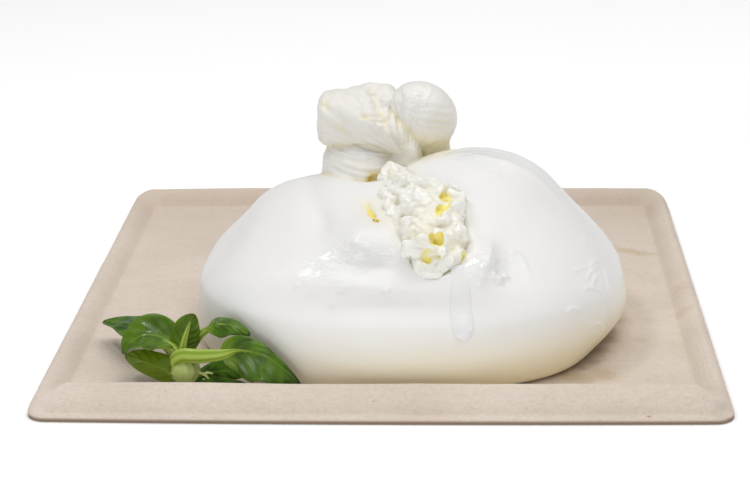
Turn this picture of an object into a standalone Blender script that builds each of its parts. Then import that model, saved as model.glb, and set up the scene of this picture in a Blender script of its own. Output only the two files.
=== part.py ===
"""A torn-open burrata on a square moulded-pulp tray, with a sprig of salad leaves.

Four pieces, each one closed solid:
  tray     pressed sheet of moulded fibre with a raised bead all round its flat lip
  skin     the mozzarella pouch: body, gathered collar and knot, hollow and torn open in front
  filling  the stracciatella that fills the pouch and bulges out of the tear
  sprig    a small rooted sprig with its leaves, lying in the front left corner

Frame: origin at the centre of the tray's underside, +X to the right, +Y to the back, +Z up.
Sizes below are in millimetres and are turned into metres when a mesh is made.
"""
import math

import bmesh
import bpy
from mathutils import Vector

MM = 0.001

# ---- clearances
TOUCH_GAP = 0.3            # left between pieces that rest on each other
CURD_GAP = 0.35            # left between the filling and the skin round the tear

# ---- tray
TRAY_SIDE = 200.0          # outer length of a side
TRAY_BOW = 1.0             # how far the middles of the front and back sides bow out
TRAY_CORNER = 6.0          # outer corner radius
TRAY_CORNER_LOSS = 0.45    # share of the corner radius lost on the way to the well
TRAY_LIP_SHEET = 1.6       # thickness of the pressed sheet at its lip
TRAY_LIP_ROUND = (0.04, 0.5)  # the lip's upper edge is eased: share of the rim's width, height
TRAY_FLOOR = 2.0           # thickness of the well's floor, which lies on the table
# each side's rim, anticlockwise from the right: (width from the edge to the well, bead's rise over the lip)
TRAY_RIMS = ((9.2, 4.2), (9.0, 5.6), (9.2, 4.2), (12.6, 6.4))
BACK = 1
FRONT = 3
# (share of the way from the edge to the well, share of the rise at the front, the same elsewhere)
BEAD_PROFILE = ((0.23, 0.0, 0.0), (0.28, 0.30, 0.55), (0.36, 0.52, 0.85), (0.48, 0.74, 1.0),
                (0.62, 0.92, 0.92), (0.76, 1.0, 0.66), (0.87, 0.72, 0.36), (0.95, 0.30, 0.12))
BEAD_CORNER_DROP = 0.05    # share of the bead's height lost in the corners
CORNER_STEPS = 4
SIDE_STEPS = 3

# ---- pouch, a dome about POUCH_CENTRE
POUCH_CENTRE = Vector((6.5, -30.0, 22.0))
POUCH_HALF_WIDTH = 65.4
POUCH_WIDER_RIGHT = 1.3    # how much further the right side reaches than the left, halved
POUCH_HALF_DEPTH = 56.0
POUCH_RISE = 29.3
POUCH_SINK = 33.0
PLAN_SQUARENESS = 2.35
UPPER_ROUNDNESS = 1.62
LOWER_ROUNDNESS = 3.8
SKIN_WALL = 5.0
FILLING_CLEARANCE = 0.5
POUCH_FOOT = TRAY_FLOOR + TOUCH_GAP
POUCH_SEGMENTS = 40
POUCH_RINGS = 20
HOLLOW_SEGMENTS = 26
HOLLOW_RINGS = 14
# name: (centre, spread along x, y and z, height out of the dome)
POUCH_SWELLS = {
    "right shoulder": ((33.0, -24.5, 49.5), (23.0, 23.0, 23.0), 11.6),
    "left shoulder": ((-30.0, -28.0, 43.5), (15.0, 20.0, 15.0), 5.0),
    "dip before the collar": ((-8.0, -20.0, 48.0), (13.0, 13.0, 13.0), -8.0),
    "fold left of the tear": ((-4.0, -66.0, 46.0), (9.0, 12.0, 9.0), 2.0),
    "ridge right of the tear": ((31.0, -71.0, 42.0), (7.0, 12.0, 6.0), 1.6),
    "hollow over the belly": ((4.0, -84.0, 28.0), (27.0, 14.0, 4.5), -2.2),
    "belly roll": ((5.0, -85.0, 16.0), (40.0, 14.0, 8.0), 1.0),
    "slack upper left flank": ((-53.0, -32.0, 31.0), (14.0, 28.0, 10.0), -2.6),
    "left foot": ((-58.0, -35.0, 6.0), (12.0, 28.0, 8.0), 1.8),
    "slack upper right flank": ((71.0, -32.0, 28.0), (12.0, 28.0, 8.0), -1.6),
    "right flank": ((76.0, -30.0, 14.0), (12.0, 28.0, 7.0), 1.4),
    "tucked right foot": ((67.0, -42.0, 2.0), (14.0, 20.0, 7.0), -1.3),
}

# ---- tear: half-widths along a line from the collar down the front
TEAR_LINE = ((0.0, -23.0, 3.0), (4.5, -35.0, 6.5), (8.0, -48.0, 10.5), (11.5, -59.0, 12.5),
             (14.5, -68.0, 10.0), (16.0, -74.0, 7.0), (16.5, -77.5, 2.5))
TEAR_STEPS = 12
TEAR_END_HALF_WIDTH = 0.8
TEAR_AXIS = Vector((0.08, -0.48, 0.87)).normalized()
TEAR_REACH = (16.0, 30.0)  # how far the cutter runs below and above its plane
TEAR_PLANE_Z = 42.0

# ---- collar and knot
COLLAR_CENTRE = (-7.5, -10.0)
# (z, radius along x, radius along y)
COLLAR_PROFILE = ((38.0, 11.0, 10.0), (44.0, 13.6, 12.0), (49.0, 13.6, 12.2), (52.6, 12.9, 11.4),
                  (54.6, 10.8, 9.4), (55.0, 7.5, 6.5))
COLLAR_PLEATS = 9
COLLAR_PLEAT_DEPTH = 0.03
# fan of gathered skin, from the pinch at its lower right to its blunt left end:
# (x, y, z, half-height, half-depth)
FAN_STATIONS = ((9.8, -16.0, 49.6, 1.2, 1.4), (8.0, -15.4, 52.4, 3.8, 3.4),
                (3.5, -13.8, 57.0, 6.8, 6.4), (-3.0, -12.0, 61.2, 9.2, 9.0),
                (-10.0, -11.0, 63.0, 9.6, 10.2), (-17.0, -10.5, 63.2, 9.7, 9.8),
                (-20.6, -10.2, 63.2, 9.2, 8.8), (-21.8, -10.0, 63.0, 7.0, 6.0))
FAN_PLEATS = 7
FAN_PLEAT_DEPTH = 0.05
# name: (centre, radii)
KNOT_LOBES = {
    "ball": ((12.4, -10.0, 65.2), (10.8, 10.2, 10.7)),
    "middle lobe": ((-4.6, -5.5, 67.4), (8.6, 7.0, 6.8)),
    "back fold": ((3.0, -1.5, 59.5), (12.5, 8.5, 9.0)),
}
LOBE_SEGMENTS = 14
LOBE_RINGS = 9
NECK_STATIONS = ((13.5, -8.5, 42.0, 7.6), (13.8, -9.0, 50.0, 7.0), (13.4, -9.6, 55.0, 6.4),
                 (12.6, -10.0, 60.0, 6.6))
NECK_SIDES = 10

# ---- filling that stands out of the tear
# its mass runs down the tear: (x, y, z, half-width, half-height)
CURD_MASS = ((5.0, -26.0, 51.5, 3.6, 3.4), (6.2, -33.0, 54.6, 5.8, 4.6), (6.4, -41.0, 54.4, 6.4, 5.0),
             (9.5, -49.0, 52.8, 9.0, 5.6), (12.4, -57.0, 50.0, 11.6, 6.2), (14.2, -65.0, 46.2, 11.4, 6.4),
             (15.8, -72.0, 41.4, 9.8, 6.2), (16.4, -76.6, 37.0, 7.4, 5.2), (16.6, -79.2, 35.0, 3.6, 2.6))
CURD_MASS_SIDES = 12
CURD_MASS_STEPS = 14
CURD_UNEVENNESS = 0.16
# larger curds on it: (centre, radii)
CURDS = (((9.6, -37.0, 57.0), (4.2, 5.0, 3.4)), ((2.6, -45.0, 53.4), (4.4, 5.0, 4.4)),
         ((19.4, -51.0, 53.0), (4.6, 4.6, 3.6)), ((6.0, -58.0, 51.4), (5.0, 5.6, 4.2)),
         ((20.6, -62.5, 49.2), (4.4, 5.8, 4.2)), ((10.6, -70.0, 45.6), (5.2, 4.8, 4.6)),
         ((20.6, -72.5, 42.4), (4.4, 4.6, 4.6)))
CURD_SEGMENTS = 10
CURD_RINGS = 6
BED_CLEARANCE = 0.5        # kept between the filling's bed in the tear and the skin's torn edges

# ---- sprig: leaves as (midrib points, half-width, cup depth, side towards which the blade opens)
LEAF_THICKNESS = 0.9
LEAF_ACROSS = 4            # panels across a blade
LEAF_ALONG = 6             # panels along a blade
LEAVES = {
    "far left": (((-64.0, -66.0, 5.5), (-71.0, -57.0, 6.8), (-78.6, -49.0, 7.5), (-86.9, -41.0, 7.4)),
                 6.0, 1.0, (0.5, 0.85, 0.1)),
    "arched": (((-61.0, -74.5, 8.5), (-64.5, -73.0, 13.5), (-70.0, -72.0, 14.5), (-76.0, -72.5, 9.2)),
               7.0, 1.4, (0.05, 0.85, 0.5)),
    "under": (((-59.5, -78.0, 4.0), (-64.0, -77.4, 5.2), (-70.0, -76.6, 7.4), (-75.5, -76.0, 9.2)),
              3.4, -0.8, (0.3, 0.5, 0.8)),
    "upright": (((-58.2, -75.0, 9.0), (-58.6, -74.4, 13.0), (-57.6, -73.8, 18.0), (-55.4, -73.4, 22.8)),
                4.2, -1.4, (1.0, -0.15, -0.1)),
    "right arching": (((-51.6, -77.0, 18.8), (-47.5, -77.4, 20.4), (-42.8, -78.0, 20.3),
                       (-38.2, -79.2, 17.8)), 3.2, 0.9, (0.1, 0.8, 0.6)),
    "big right": (((-47.0, -84.0, 12.0), (-40.0, -85.2, 14.4), (-32.0, -86.2, 11.6), (-23.0, -86.6, 6.2)),
                  7.3, 1.2, (-0.2, 0.3, 0.93)),
    "low": (((-55.0, -81.0, 4.6), (-50.0, -84.0, 5.2), (-45.0, -85.0, 5.4), (-39.0, -85.5, 5.0)),
            2.4, 0.5, (0.0, 0.35, 0.9)),
}
# stalks as (points, radius at the start, radius at the end)
STALKS = {
    "low": (((-57.0, -80.0, 5.5), (-54.0, -81.8, 4.8), (-50.0, -84.0, 5.2)), 1.4, 0.9),
    "under": (((-58.0, -78.5, 5.4), (-60.5, -78.0, 4.6), (-64.0, -77.4, 5.2)), 1.4, 0.9),
    "far left": (((-57.6, -77.6, 5.4), (-60.6, -71.0, 5.6), (-66.2, -63.5, 6.0)), 1.3, 0.9),
    "thick": (((-58.5, -80.0, 9.6), (-54.5, -81.5, 11.6), (-50.5, -83.0, 12.0), (-44.5, -84.4, 13.0)),
              2.0, 1.3),
    "arching": (((-57.5, -77.5, 9.0), (-57.0, -76.8, 14.0), (-54.4, -76.9, 17.4), (-49.6, -77.2, 19.6)),
                1.1, 0.8),
    "upright": (((-58.0, -77.5, 7.0), (-58.2, -75.8, 9.6), (-58.4, -74.6, 13.0)), 1.4, 1.0),
    "left": (((-58.5, -77.0, 7.0), (-60.8, -75.5, 9.2), (-63.4, -73.5, 12.4)), 1.4, 1.0),
}
STALK_SIDES = 5
STALK_STEPS = 3
SPRIG_BASE = ((-57.0, -79.0, 6.0), (3.2, 3.0, 3.5))
SPRIG_BASE_SEGMENTS = 10
SPRIG_BASE_RINGS = 6
LEAF_END_SHARE = 0.16      # least width of a blade as a share of its half-width
LEAF_WIDEST_POWER = 0.85   # below 1 puts the widest place nearer the stalk
LEAF_FULLNESS_POWER = 0.7  # below 1 makes the outline fuller than a sine

# ---- colour (linear) and roughness of each piece, and the angle above which an edge is shaded sharp
PULP_COLOUR = (0.60, 0.50, 0.41)
MILK_COLOUR = (0.86, 0.83, 0.77)
CURD_COLOUR = (0.86, 0.82, 0.70)
LEAF_COLOUR = (0.07, 0.19, 0.03)
PULP_ROUGHNESS = 0.85
MILK_ROUGHNESS = 0.3
CURD_ROUGHNESS = 0.45
LEAF_ROUGHNESS = 0.4
SHARP_ANGLE = math.radians(50.0)


def new_object(name, points, faces):
    """Hidden guide object from points in millimetres, with its faces pointing out."""
    mesh = bpy.data.meshes.new(name)
    mesh.from_pydata([Vector(point) * MM for point in points], [], faces)
    form = bmesh.new()
    form.from_mesh(mesh)
    bmesh.ops.recalc_face_normals(form, faces=form.faces)
    form.to_mesh(mesh)
    form.free()
    mesh.shade_smooth()
    mesh.set_sharp_from_angle(angle=SHARP_ANGLE)
    obj = bpy.data.objects.new(name, mesh)
    obj.hide_render = True
    obj.display_type = 'WIRE'
    bpy.context.scene.collection.objects.link(obj)
    return obj


def dress(obj, colour, roughness):
    """Turn a guide into a piece of the object with its own material."""
    material = bpy.data.materials.new(obj.name)
    material.use_nodes = True
    shader = material.node_tree.nodes["Principled BSDF"]
    shader.inputs["Base Color"].default_value = (*colour, 1.0)
    shader.inputs["Roughness"].default_value = roughness
    obj.data.materials.append(material)
    obj.hide_render = False
    obj.display_type = 'TEXTURED'


def add_boolean(target, guide, operation):
    """Keep a live Boolean with the guide on the target."""
    modifier = target.modifiers.new(f"{operation.lower()} {guide.name}", 'BOOLEAN')
    modifier.operation = operation
    modifier.solver = 'EXACT'
    modifier.object = guide


def loft(rings):
    """Points and faces of a closed body through rings of equal length, with a fan over each end."""
    count = len(rings[0])
    points = [point for ring in rings for point in ring]
    faces = []
    for row in range(len(rings) - 1):
        for column in range(count):
            after = (column + 1) % count
            faces.append((row * count + column, row * count + after,
                          (row + 1) * count + after, (row + 1) * count + column))
    for row, flip in ((0, True), (len(rings) - 1, False)):
        middle = sum((Vector(point) for point in rings[row]), Vector()) / count
        points.append(middle)
        for column in range(count):
            fan = (row * count + column, row * count + (column + 1) % count, len(points) - 1)
            faces.append(fan[::-1] if flip else fan)
    return points, faces


def ball_directions(segments, rings):
    """Unit vectors and triangles of a UV sphere; bodies shaped from the same ball nest facet by facet."""
    form = bmesh.new()
    bmesh.ops.create_uvsphere(form, u_segments=segments, v_segments=rings, radius=1.0)
    bmesh.ops.triangulate(form, faces=form.faces)
    directions = [vertex.co.normalized() for vertex in form.verts]
    faces = [[vertex.index for vertex in face.verts] for face in form.faces]
    form.free()
    return directions, faces


def smooth_path(points, steps):
    """Catmull-Rom curve through the points, sampled in equal steps of its parameter."""
    points = [Vector(point) for point in points]
    before = points[0] * 2.0 - points[1]
    after = points[-1] * 2.0 - points[-2]
    nodes = [before, *points, after]
    path = []
    for step in range(steps + 1):
        place = step / steps * (len(points) - 1)
        span = min(int(place), len(points) - 2)
        t = place - span
        a, b, c, d = nodes[span:span + 4]
        path.append(0.5 * (2.0 * b + (c - a) * t + (2.0 * a - 5.0 * b + 4.0 * c - d) * t * t
                           + (3.0 * b - a - 3.0 * c + d) * t ** 3))
    return path


# ---------------------------------------------------------------- tray
def tray_ring(share, level, heights):
    """Ring round the tray at a share of the way across its rims.

    level is its height without the bead; heights are the shares of the bead's rise at the front
    and elsewhere.
    """
    corner = TRAY_CORNER * (1.0 - TRAY_CORNER_LOSS * share)
    reach = [TRAY_SIDE / 2.0 - share * width for width, rise in TRAY_RIMS]
    lift = [rise * (heights[0] if side == FRONT else heights[1])
            for side, (width, rise) in enumerate(TRAY_RIMS)]
    ring = []
    for side in range(4):
        # the corner from this side to the next one, then the next side
        after = (side + 1) % 4
        turn = math.radians(90.0 * side)
        outward = Vector((round(math.cos(turn)), round(math.sin(turn)), 0.0))
        onward = Vector((-outward.y, outward.x, 0.0))
        centre = outward * (reach[side] - corner) + onward * (reach[after] - corner)
        for step in range(CORNER_STEPS + 1):
            angle = math.pi / 2.0 * step / CORNER_STEPS
            share_after = math.sin(angle) ** 2
            height = lift[side] * (1.0 - share_after) + lift[after] * share_after
            place = centre + (outward * math.cos(angle) + onward * math.sin(angle)) * corner
            height *= 1.0 - BEAD_CORNER_DROP * math.sin(2.0 * angle)
            ring.append((place.x, place.y, level + height))
        last = -(reach[(side + 2) % 4] - corner)
        first = reach[side] - corner
        for step in range(1, SIDE_STEPS + 1):
            along = step / (SIDE_STEPS + 1)
            bow = TRAY_BOW * 4.0 * along * (1.0 - along) if after in (BACK, FRONT) else 0.0
            place = onward * (reach[after] + bow) + outward * (first + (last - first) * along)
            ring.append((place.x, place.y, level + lift[after]))
    return ring


def make_tray():
    flat = (0.0, 0.0)
    eased_share, eased_height = TRAY_LIP_ROUND
    upper = [tray_ring(0.0, TRAY_LIP_SHEET - eased_height, flat),
             tray_ring(eased_share, TRAY_LIP_SHEET, flat)]
    lower = [tray_ring(0.0, 0.0, flat)]
    for share, front_height, other_height in BEAD_PROFILE:
        upper.append(tray_ring(share, TRAY_LIP_SHEET, (front_height, other_height)))
        lower.append(tray_ring(share, 0.0, (front_height, other_height)))
    upper.append(tray_ring(1.0, TRAY_FLOOR, flat))
    lower.append(tray_ring(1.0, 0.0, flat))
    points, faces = loft(lower[::-1] + upper)
    dress(new_object("tray", points, faces), PULP_COLOUR, PULP_ROUGHNESS)


# ---------------------------------------------------------------- pouch
def pouch_radius(direction, inset):
    """Distance from the pouch's centre to its surface, or to one the inset further in."""
    rise = POUCH_RISE if direction.z > 0.0 else POUCH_SINK
    roundness = UPPER_ROUNDNESS if direction.z > 0.0 else LOWER_ROUNDNESS
    half_width = POUCH_HALF_WIDTH + POUCH_WIDER_RIGHT * direction.x
    plan = (abs(direction.x / half_width) ** PLAN_SQUARENESS
            + abs(direction.y / POUCH_HALF_DEPTH) ** PLAN_SQUARENESS) ** (1.0 / PLAN_SQUARENESS)
    radius = (plan ** roundness + abs(direction.z / rise) ** roundness) ** (-1.0 / roundness)
    place = POUCH_CENTRE + direction * radius
    for centre, spread, height in POUCH_SWELLS.values():
        offset = [(place[i] - centre[i]) / spread[i] for i in range(3)]
        radius += height * math.exp(-sum(value * value for value in offset))
    radius -= inset
    if direction.z < 0.0:
        radius = min(radius, (POUCH_CENTRE.z - POUCH_FOOT - inset) / -direction.z)
    return radius


def pouch_body(name, inset):
    if inset > 0.0:
        directions, faces = ball_directions(HOLLOW_SEGMENTS, HOLLOW_RINGS)
    else:
        directions, faces = ball_directions(POUCH_SEGMENTS, POUCH_RINGS)
    points = [POUCH_CENTRE + direction * pouch_radius(direction, inset) for direction in directions]
    return new_object(name, points, faces)


def tear_cutter(name, shrink):
    """Prism through the tear's outline, drawn in all round by shrink and running along the tear's axis."""
    line = smooth_path(TEAR_LINE, TEAR_STEPS)
    left = []
    right = []
    for index, point in enumerate(line):
        before = line[max(index - 1, 0)]
        after = line[min(index + 1, TEAR_STEPS)]
        run = Vector((after.x - before.x, after.y - before.y, 0.0)).normalized()
        across = Vector((-run.y, run.x, 0.0))
        drawn_in = run * shrink * ((index == 0) - (index == TEAR_STEPS))
        middle = Vector((point.x, point.y, TEAR_PLANE_Z)) + drawn_in
        half = max(point.z - shrink, TEAR_END_HALF_WIDTH)
        left.append(middle + across * half)
        right.append(middle - across * half)
    outline = left + right[::-1]
    below, above = TEAR_REACH
    top = [point + TEAR_AXIS * above for point in outline]
    bottom = [point - TEAR_AXIS * below for point in outline]
    points, faces = loft([top, bottom])
    return new_object(name, points, faces)


def collar(name, grow):
    x0, y0 = COLLAR_CENTRE
    rings = []
    for z, radius_x, radius_y in COLLAR_PROFILE:
        ring = []
        for step in range(2 * COLLAR_PLEATS):
            angle = math.pi * step / COLLAR_PLEATS
            pleat = 1.0 + COLLAR_PLEAT_DEPTH * (-1.0) ** step
            ring.append((x0 + (radius_x * pleat + grow) * math.cos(angle),
                         y0 + (radius_y * pleat + grow) * math.sin(angle), z))
        rings.append(ring)
    points, faces = loft(rings)
    return new_object(name, points, faces)


def knot_fan():
    rings = []
    for x, y, z, half_height, half_depth in FAN_STATIONS:
        ring = []
        for step in range(2 * FAN_PLEATS):
            angle = math.pi * step / FAN_PLEATS
            pleat = 1.0 + FAN_PLEAT_DEPTH * (-1.0) ** step
            ring.append((x, y + half_depth * pleat * math.cos(angle),
                         z + half_height * pleat * math.sin(angle)))
        rings.append(ring)
    points, faces = loft(rings[::-1])
    return new_object("knot fan", points, faces)


def unevenness(place):
    """Slow waves in the size of a curd, between about -1 and 1, set by where it is in millimetres."""
    wave = math.sin(0.83 * place[0] + 0.4 * place[2]) * math.cos(0.71 * place[1])
    return 0.5 * (wave + math.sin(0.64 * place[2] + 0.47 * place[0] + 0.31 * place[1]))


def lump(name, centre, radii, segments, rings, roughness=0.0):
    """Ball with three radii, swollen and dented by up to the given share of its size."""
    directions, faces = ball_directions(segments, rings)
    points = []
    for direction in directions:
        offset = Vector([radii[i] * direction[i] for i in range(3)])
        points.append(Vector(centre) + offset * (1.0 + roughness * unevenness(Vector(centre) + offset)))
    return new_object(name, points, faces)


def knot_neck():
    rings = []
    for x, y, z, radius in NECK_STATIONS:
        angles = [2.0 * math.pi * step / NECK_SIDES for step in range(NECK_SIDES)]
        rings.append([(x + radius * math.cos(angle), y + radius * math.sin(angle), z) for angle in angles])
    points, faces = loft(rings)
    return new_object("knot neck", points, faces)


def make_skin():
    skin = pouch_body("skin", 0.0)
    for part in [collar("collar", 0.0), knot_neck(), knot_fan()]:
        add_boolean(skin, part, 'UNION')
    for name, (centre, radii) in KNOT_LOBES.items():
        add_boolean(skin, lump(f"knot {name}", centre, radii, LOBE_SEGMENTS, LOBE_RINGS), 'UNION')
    add_boolean(skin, pouch_body("pouch hollow", SKIN_WALL), 'DIFFERENCE')
    add_boolean(skin, tear_cutter("tear", 0.0), 'DIFFERENCE')
    dress(skin, MILK_COLOUR, MILK_ROUGHNESS)


def curd_mass():
    """Uneven rope of curd along its stations, wider than it is high."""
    line = smooth_path([station[:3] for station in CURD_MASS], CURD_MASS_STEPS)
    sizes = smooth_path([(*station[3:], 0.0) for station in CURD_MASS], CURD_MASS_STEPS)
    rings = []
    for index, (point, size) in enumerate(zip(line, sizes)):
        run = (line[min(index + 1, CURD_MASS_STEPS)] - line[max(index - 1, 0)]).normalized()
        across = run.cross(Vector((0.0, 0.0, 1.0))).normalized()
        up = across.cross(run)
        ring = []
        for step in range(CURD_MASS_SIDES):
            angle = 2.0 * math.pi * step / CURD_MASS_SIDES
            offset = across * (size.x * math.cos(angle)) + up * (size.y * math.sin(angle))
            ring.append(point + offset * (1.0 + CURD_UNEVENNESS * unevenness(point + offset)))
        rings.append(ring)
    points, faces = loft(rings)
    return new_object("curd mass", points, faces)


def make_filling():
    filling = pouch_body("filling", SKIN_WALL + FILLING_CLEARANCE)
    bed = pouch_body("bed of the curds", 0.0)
    add_boolean(bed, tear_cutter("tear less the bed's room", BED_CLEARANCE), 'INTERSECT')
    add_boolean(filling, bed, 'UNION')
    add_boolean(filling, curd_mass(), 'UNION')
    for number, (centre, radii) in enumerate(CURDS):
        curd = lump(f"curd {number + 1}", centre, radii, CURD_SEGMENTS, CURD_RINGS, CURD_UNEVENNESS)
        add_boolean(filling, curd, 'UNION')
    keep_out = pouch_body("skin with room round it", -CURD_GAP)
    add_boolean(keep_out, collar("collar with room round it", CURD_GAP), 'UNION')
    add_boolean(keep_out, pouch_body("inside of the skin", SKIN_WALL + CURD_GAP), 'DIFFERENCE')
    add_boolean(keep_out, tear_cutter("tear less its room", CURD_GAP), 'DIFFERENCE')
    add_boolean(filling, keep_out, 'DIFFERENCE')
    dress(filling, CURD_COLOUR, CURD_ROUGHNESS)


# ---------------------------------------------------------------- sprig
def leaf(name, midrib, half_width, cup, side):
    """Blade along a midrib: a thin closed sheet, cupped across, pointed at its tip."""
    path = smooth_path(midrib, LEAF_ALONG)
    side = Vector(side)
    rings = []
    for index, point in enumerate(path):
        before = path[max(index - 1, 0)]
        after = path[min(index + 1, LEAF_ALONG)]
        run = (after - before).normalized()
        across = (side - run * side.dot(run)).normalized()
        normal = run.cross(across)
        t = index / LEAF_ALONG
        outline = math.sin(math.pi * t ** LEAF_WIDEST_POWER) if index < LEAF_ALONG else 0.0
        width = half_width * max(outline ** LEAF_FULLNESS_POWER, LEAF_END_SHARE)
        upper = []
        lower = []
        for column in range(LEAF_ACROSS + 1):
            share = -1.0 + 2.0 * column / LEAF_ACROSS
            place = point + across * (width * share) - normal * (cup * share * share * width / half_width)
            half = LEAF_THICKNESS / 2.0
            upper.append(place + normal * half)
            lower.append(place - normal * half)
        rings.append(upper + lower[::-1])
    points, faces = loft(rings)
    return new_object(name, points, faces)


def stalk(name, line, start_radius, end_radius):
    path = smooth_path(line, STALK_STEPS)
    rings = []
    for index, point in enumerate(path):
        before = path[max(index - 1, 0)]
        after = path[min(index + 1, len(path) - 1)]
        run = (after - before).normalized()
        side = run.cross(Vector((0.3, 1.0, 0.2))).normalized()
        up = run.cross(side)
        radius = start_radius + (end_radius - start_radius) * index / (len(path) - 1)
        angles = [2.0 * math.pi * step / STALK_SIDES for step in range(STALK_SIDES)]
        rings.append([point + (side * math.cos(angle) + up * math.sin(angle)) * radius for angle in angles])
    points, faces = loft(rings)
    return new_object(name, points, faces)


def make_sprig():
    sprig = lump("sprig", *SPRIG_BASE, SPRIG_BASE_SEGMENTS, SPRIG_BASE_RINGS)
    for name, (line, start_radius, end_radius) in STALKS.items():
        add_boolean(sprig, stalk(f"{name} stalk", line, start_radius, end_radius), 'UNION')
    for name, (midrib, half_width, cup, side) in LEAVES.items():
        add_boolean(sprig, leaf(f"{name} leaf", midrib, half_width, cup, side), 'UNION')
    dress(sprig, LEAF_COLOUR, LEAF_ROUGHNESS)


def main():
    for obj in list(bpy.data.objects):
        bpy.data.objects.remove(obj)
    make_tray()
    make_skin()
    make_filling()
    make_sprig()


main()
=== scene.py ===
"""The looks of the burrata: wet mozzarella skin, torn curd, moulded-pulp tray and salad leaves.

Sizes are in millimetres. Places on the cheese are measured from the pouch's centre, which comes from the
frame's box of the skin; places on the tray are measured from the frame's own origin.
"""
import math

import bpy
import numpy as np
from mathutils import Matrix, Vector


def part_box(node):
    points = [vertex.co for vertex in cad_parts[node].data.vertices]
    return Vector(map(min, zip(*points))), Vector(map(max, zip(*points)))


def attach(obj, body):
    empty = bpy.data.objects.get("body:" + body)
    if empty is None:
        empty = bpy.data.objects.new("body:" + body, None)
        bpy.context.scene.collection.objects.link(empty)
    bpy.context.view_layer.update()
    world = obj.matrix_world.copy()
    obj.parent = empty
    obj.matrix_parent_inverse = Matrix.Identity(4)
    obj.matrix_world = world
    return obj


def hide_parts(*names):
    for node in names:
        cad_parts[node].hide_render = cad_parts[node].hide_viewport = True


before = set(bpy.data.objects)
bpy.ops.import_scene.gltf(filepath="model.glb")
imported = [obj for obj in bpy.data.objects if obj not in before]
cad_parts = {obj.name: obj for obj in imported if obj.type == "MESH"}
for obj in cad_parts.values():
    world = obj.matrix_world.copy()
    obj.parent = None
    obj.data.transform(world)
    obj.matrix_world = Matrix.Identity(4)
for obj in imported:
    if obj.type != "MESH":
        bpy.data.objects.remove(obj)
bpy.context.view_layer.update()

MM = 0.001
BODY = "root"
SEED_SHIFT = 13.7          # how far apart the places read for one seed of the noise and the next lie


# ======== small tools
def box_mm(node):
    """Lowest and highest corner of a CAD node, in millimetres."""
    low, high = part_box(node)
    return np.array(low) / MM, np.array(high) / MM


def length(vectors):
    return np.sqrt((vectors ** 2).sum(-1))


def unit(vectors):
    """Vectors scaled to length 1."""
    return vectors / np.maximum(length(vectors), 1e-6)[..., None]


def within(points, box):
    """Whether each point lies inside a box, given as its lowest and highest corner."""
    low, high = box
    return ((points > np.array(low)) & (points < np.array(high))).all(-1)


def smooth_step(value, low, high):
    t = np.clip((value - low) / (high - low), 0.0, 1.0)
    return t * t * (3.0 - 2.0 * t)


def merge(first, second, blend):
    """Union of two distance fields with a fillet about blend wide."""
    h = np.clip(0.5 + 0.5 * (second - first) / blend, 0.0, 1.0)
    return second + (first - second) * h - blend * h * (1.0 - h)


def carve(first, second, blend):
    """First field less the second, with the edge rounded over about blend."""
    return -merge(-first, second, blend)


def bell(points, centre, spread):
    """1 at the centre, falling off smoothly with the spread along each axis."""
    return np.exp(-(((points - np.array(centre)) / np.array(spread)) ** 2).sum(-1))


def corner_weights(t):
    """Each corner of a unit cube, with its weight at the places t inside the cube."""
    for corner in np.ndindex(2, 2, 2):
        yield corner, np.prod([t[..., i] if corner[i] else 1.0 - t[..., i] for i in range(3)], axis=0)


def noise(points, size, seed=0):
    """Smooth value noise between -1 and 1 whose features are about size across."""
    place = points / size + SEED_SHIFT * seed
    cell = np.floor(place)
    total = 0.0
    for corner, weight in corner_weights(smooth_step(place - cell, 0.0, 1.0)):
        x, y, z = np.moveaxis(cell + corner, -1, 0)
        key = np.sin(x * 127.1 + y * 311.7 + z * 74.7) * 43758.5453
        total = total + weight * (2.0 * (key - np.floor(key)) - 1.0)
    return total


def uneven(points, layers):
    """Sum of noises, each given by its height, size and seed."""
    return sum(height * noise(points, size, seed) for height, size, seed in layers)


def shift(points, size, seed):
    """Three noises from the seed on, one for each axis."""
    return np.stack([noise(points, size, seed + axis) for axis in range(3)], -1)


def ridges(points, size, seed=0):
    """Noise folded into sharp crests: 1 on a crest, down to 0 between them."""
    return 1.0 - np.abs(noise(points, size, seed))


def profile(places, table):
    """Values of a table at the places of its first column."""
    table = np.array(table)
    return [np.interp(places, table[:, 0], column) for column in table.T[1:]]


def curve_points(stations, steps):
    """Catmull-Rom curve through the stations, any number of values each."""
    stations = np.array(stations, float)
    nodes = np.vstack([2 * stations[0] - stations[1], stations, 2 * stations[-1] - stations[-2]])
    place = np.linspace(0.0, len(stations) - 1.0, steps + 1)
    span = np.minimum(place.astype(int), len(stations) - 2)
    t = (place - span)[:, None]
    a, b, c, d = (nodes[span + i] for i in range(4))
    return 0.5 * (2 * b + (c - a) * t + (2 * a - 5 * b + 4 * c - d) * t ** 2
                  + (3 * b - a - 3 * c + d) * t ** 3)


def to_curve(points, line):
    """Distance of points to a polyline, and how far along it (0 to 1) the nearest place is."""
    best = np.full(len(points), 1e9)
    along = np.zeros(len(points))
    for index in range(len(line) - 1):
        run = line[index + 1] - line[index]
        t = np.clip(((points - line[index]) @ run) / (run @ run), 0.0, 1.0)
        gap = length(points - line[index] - t[:, None] * run)
        nearer = gap < best
        best[nearer] = gap[nearer]
        along[nearer] = (index + t[nearer]) / (len(line) - 1)
    return best, along


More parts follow.
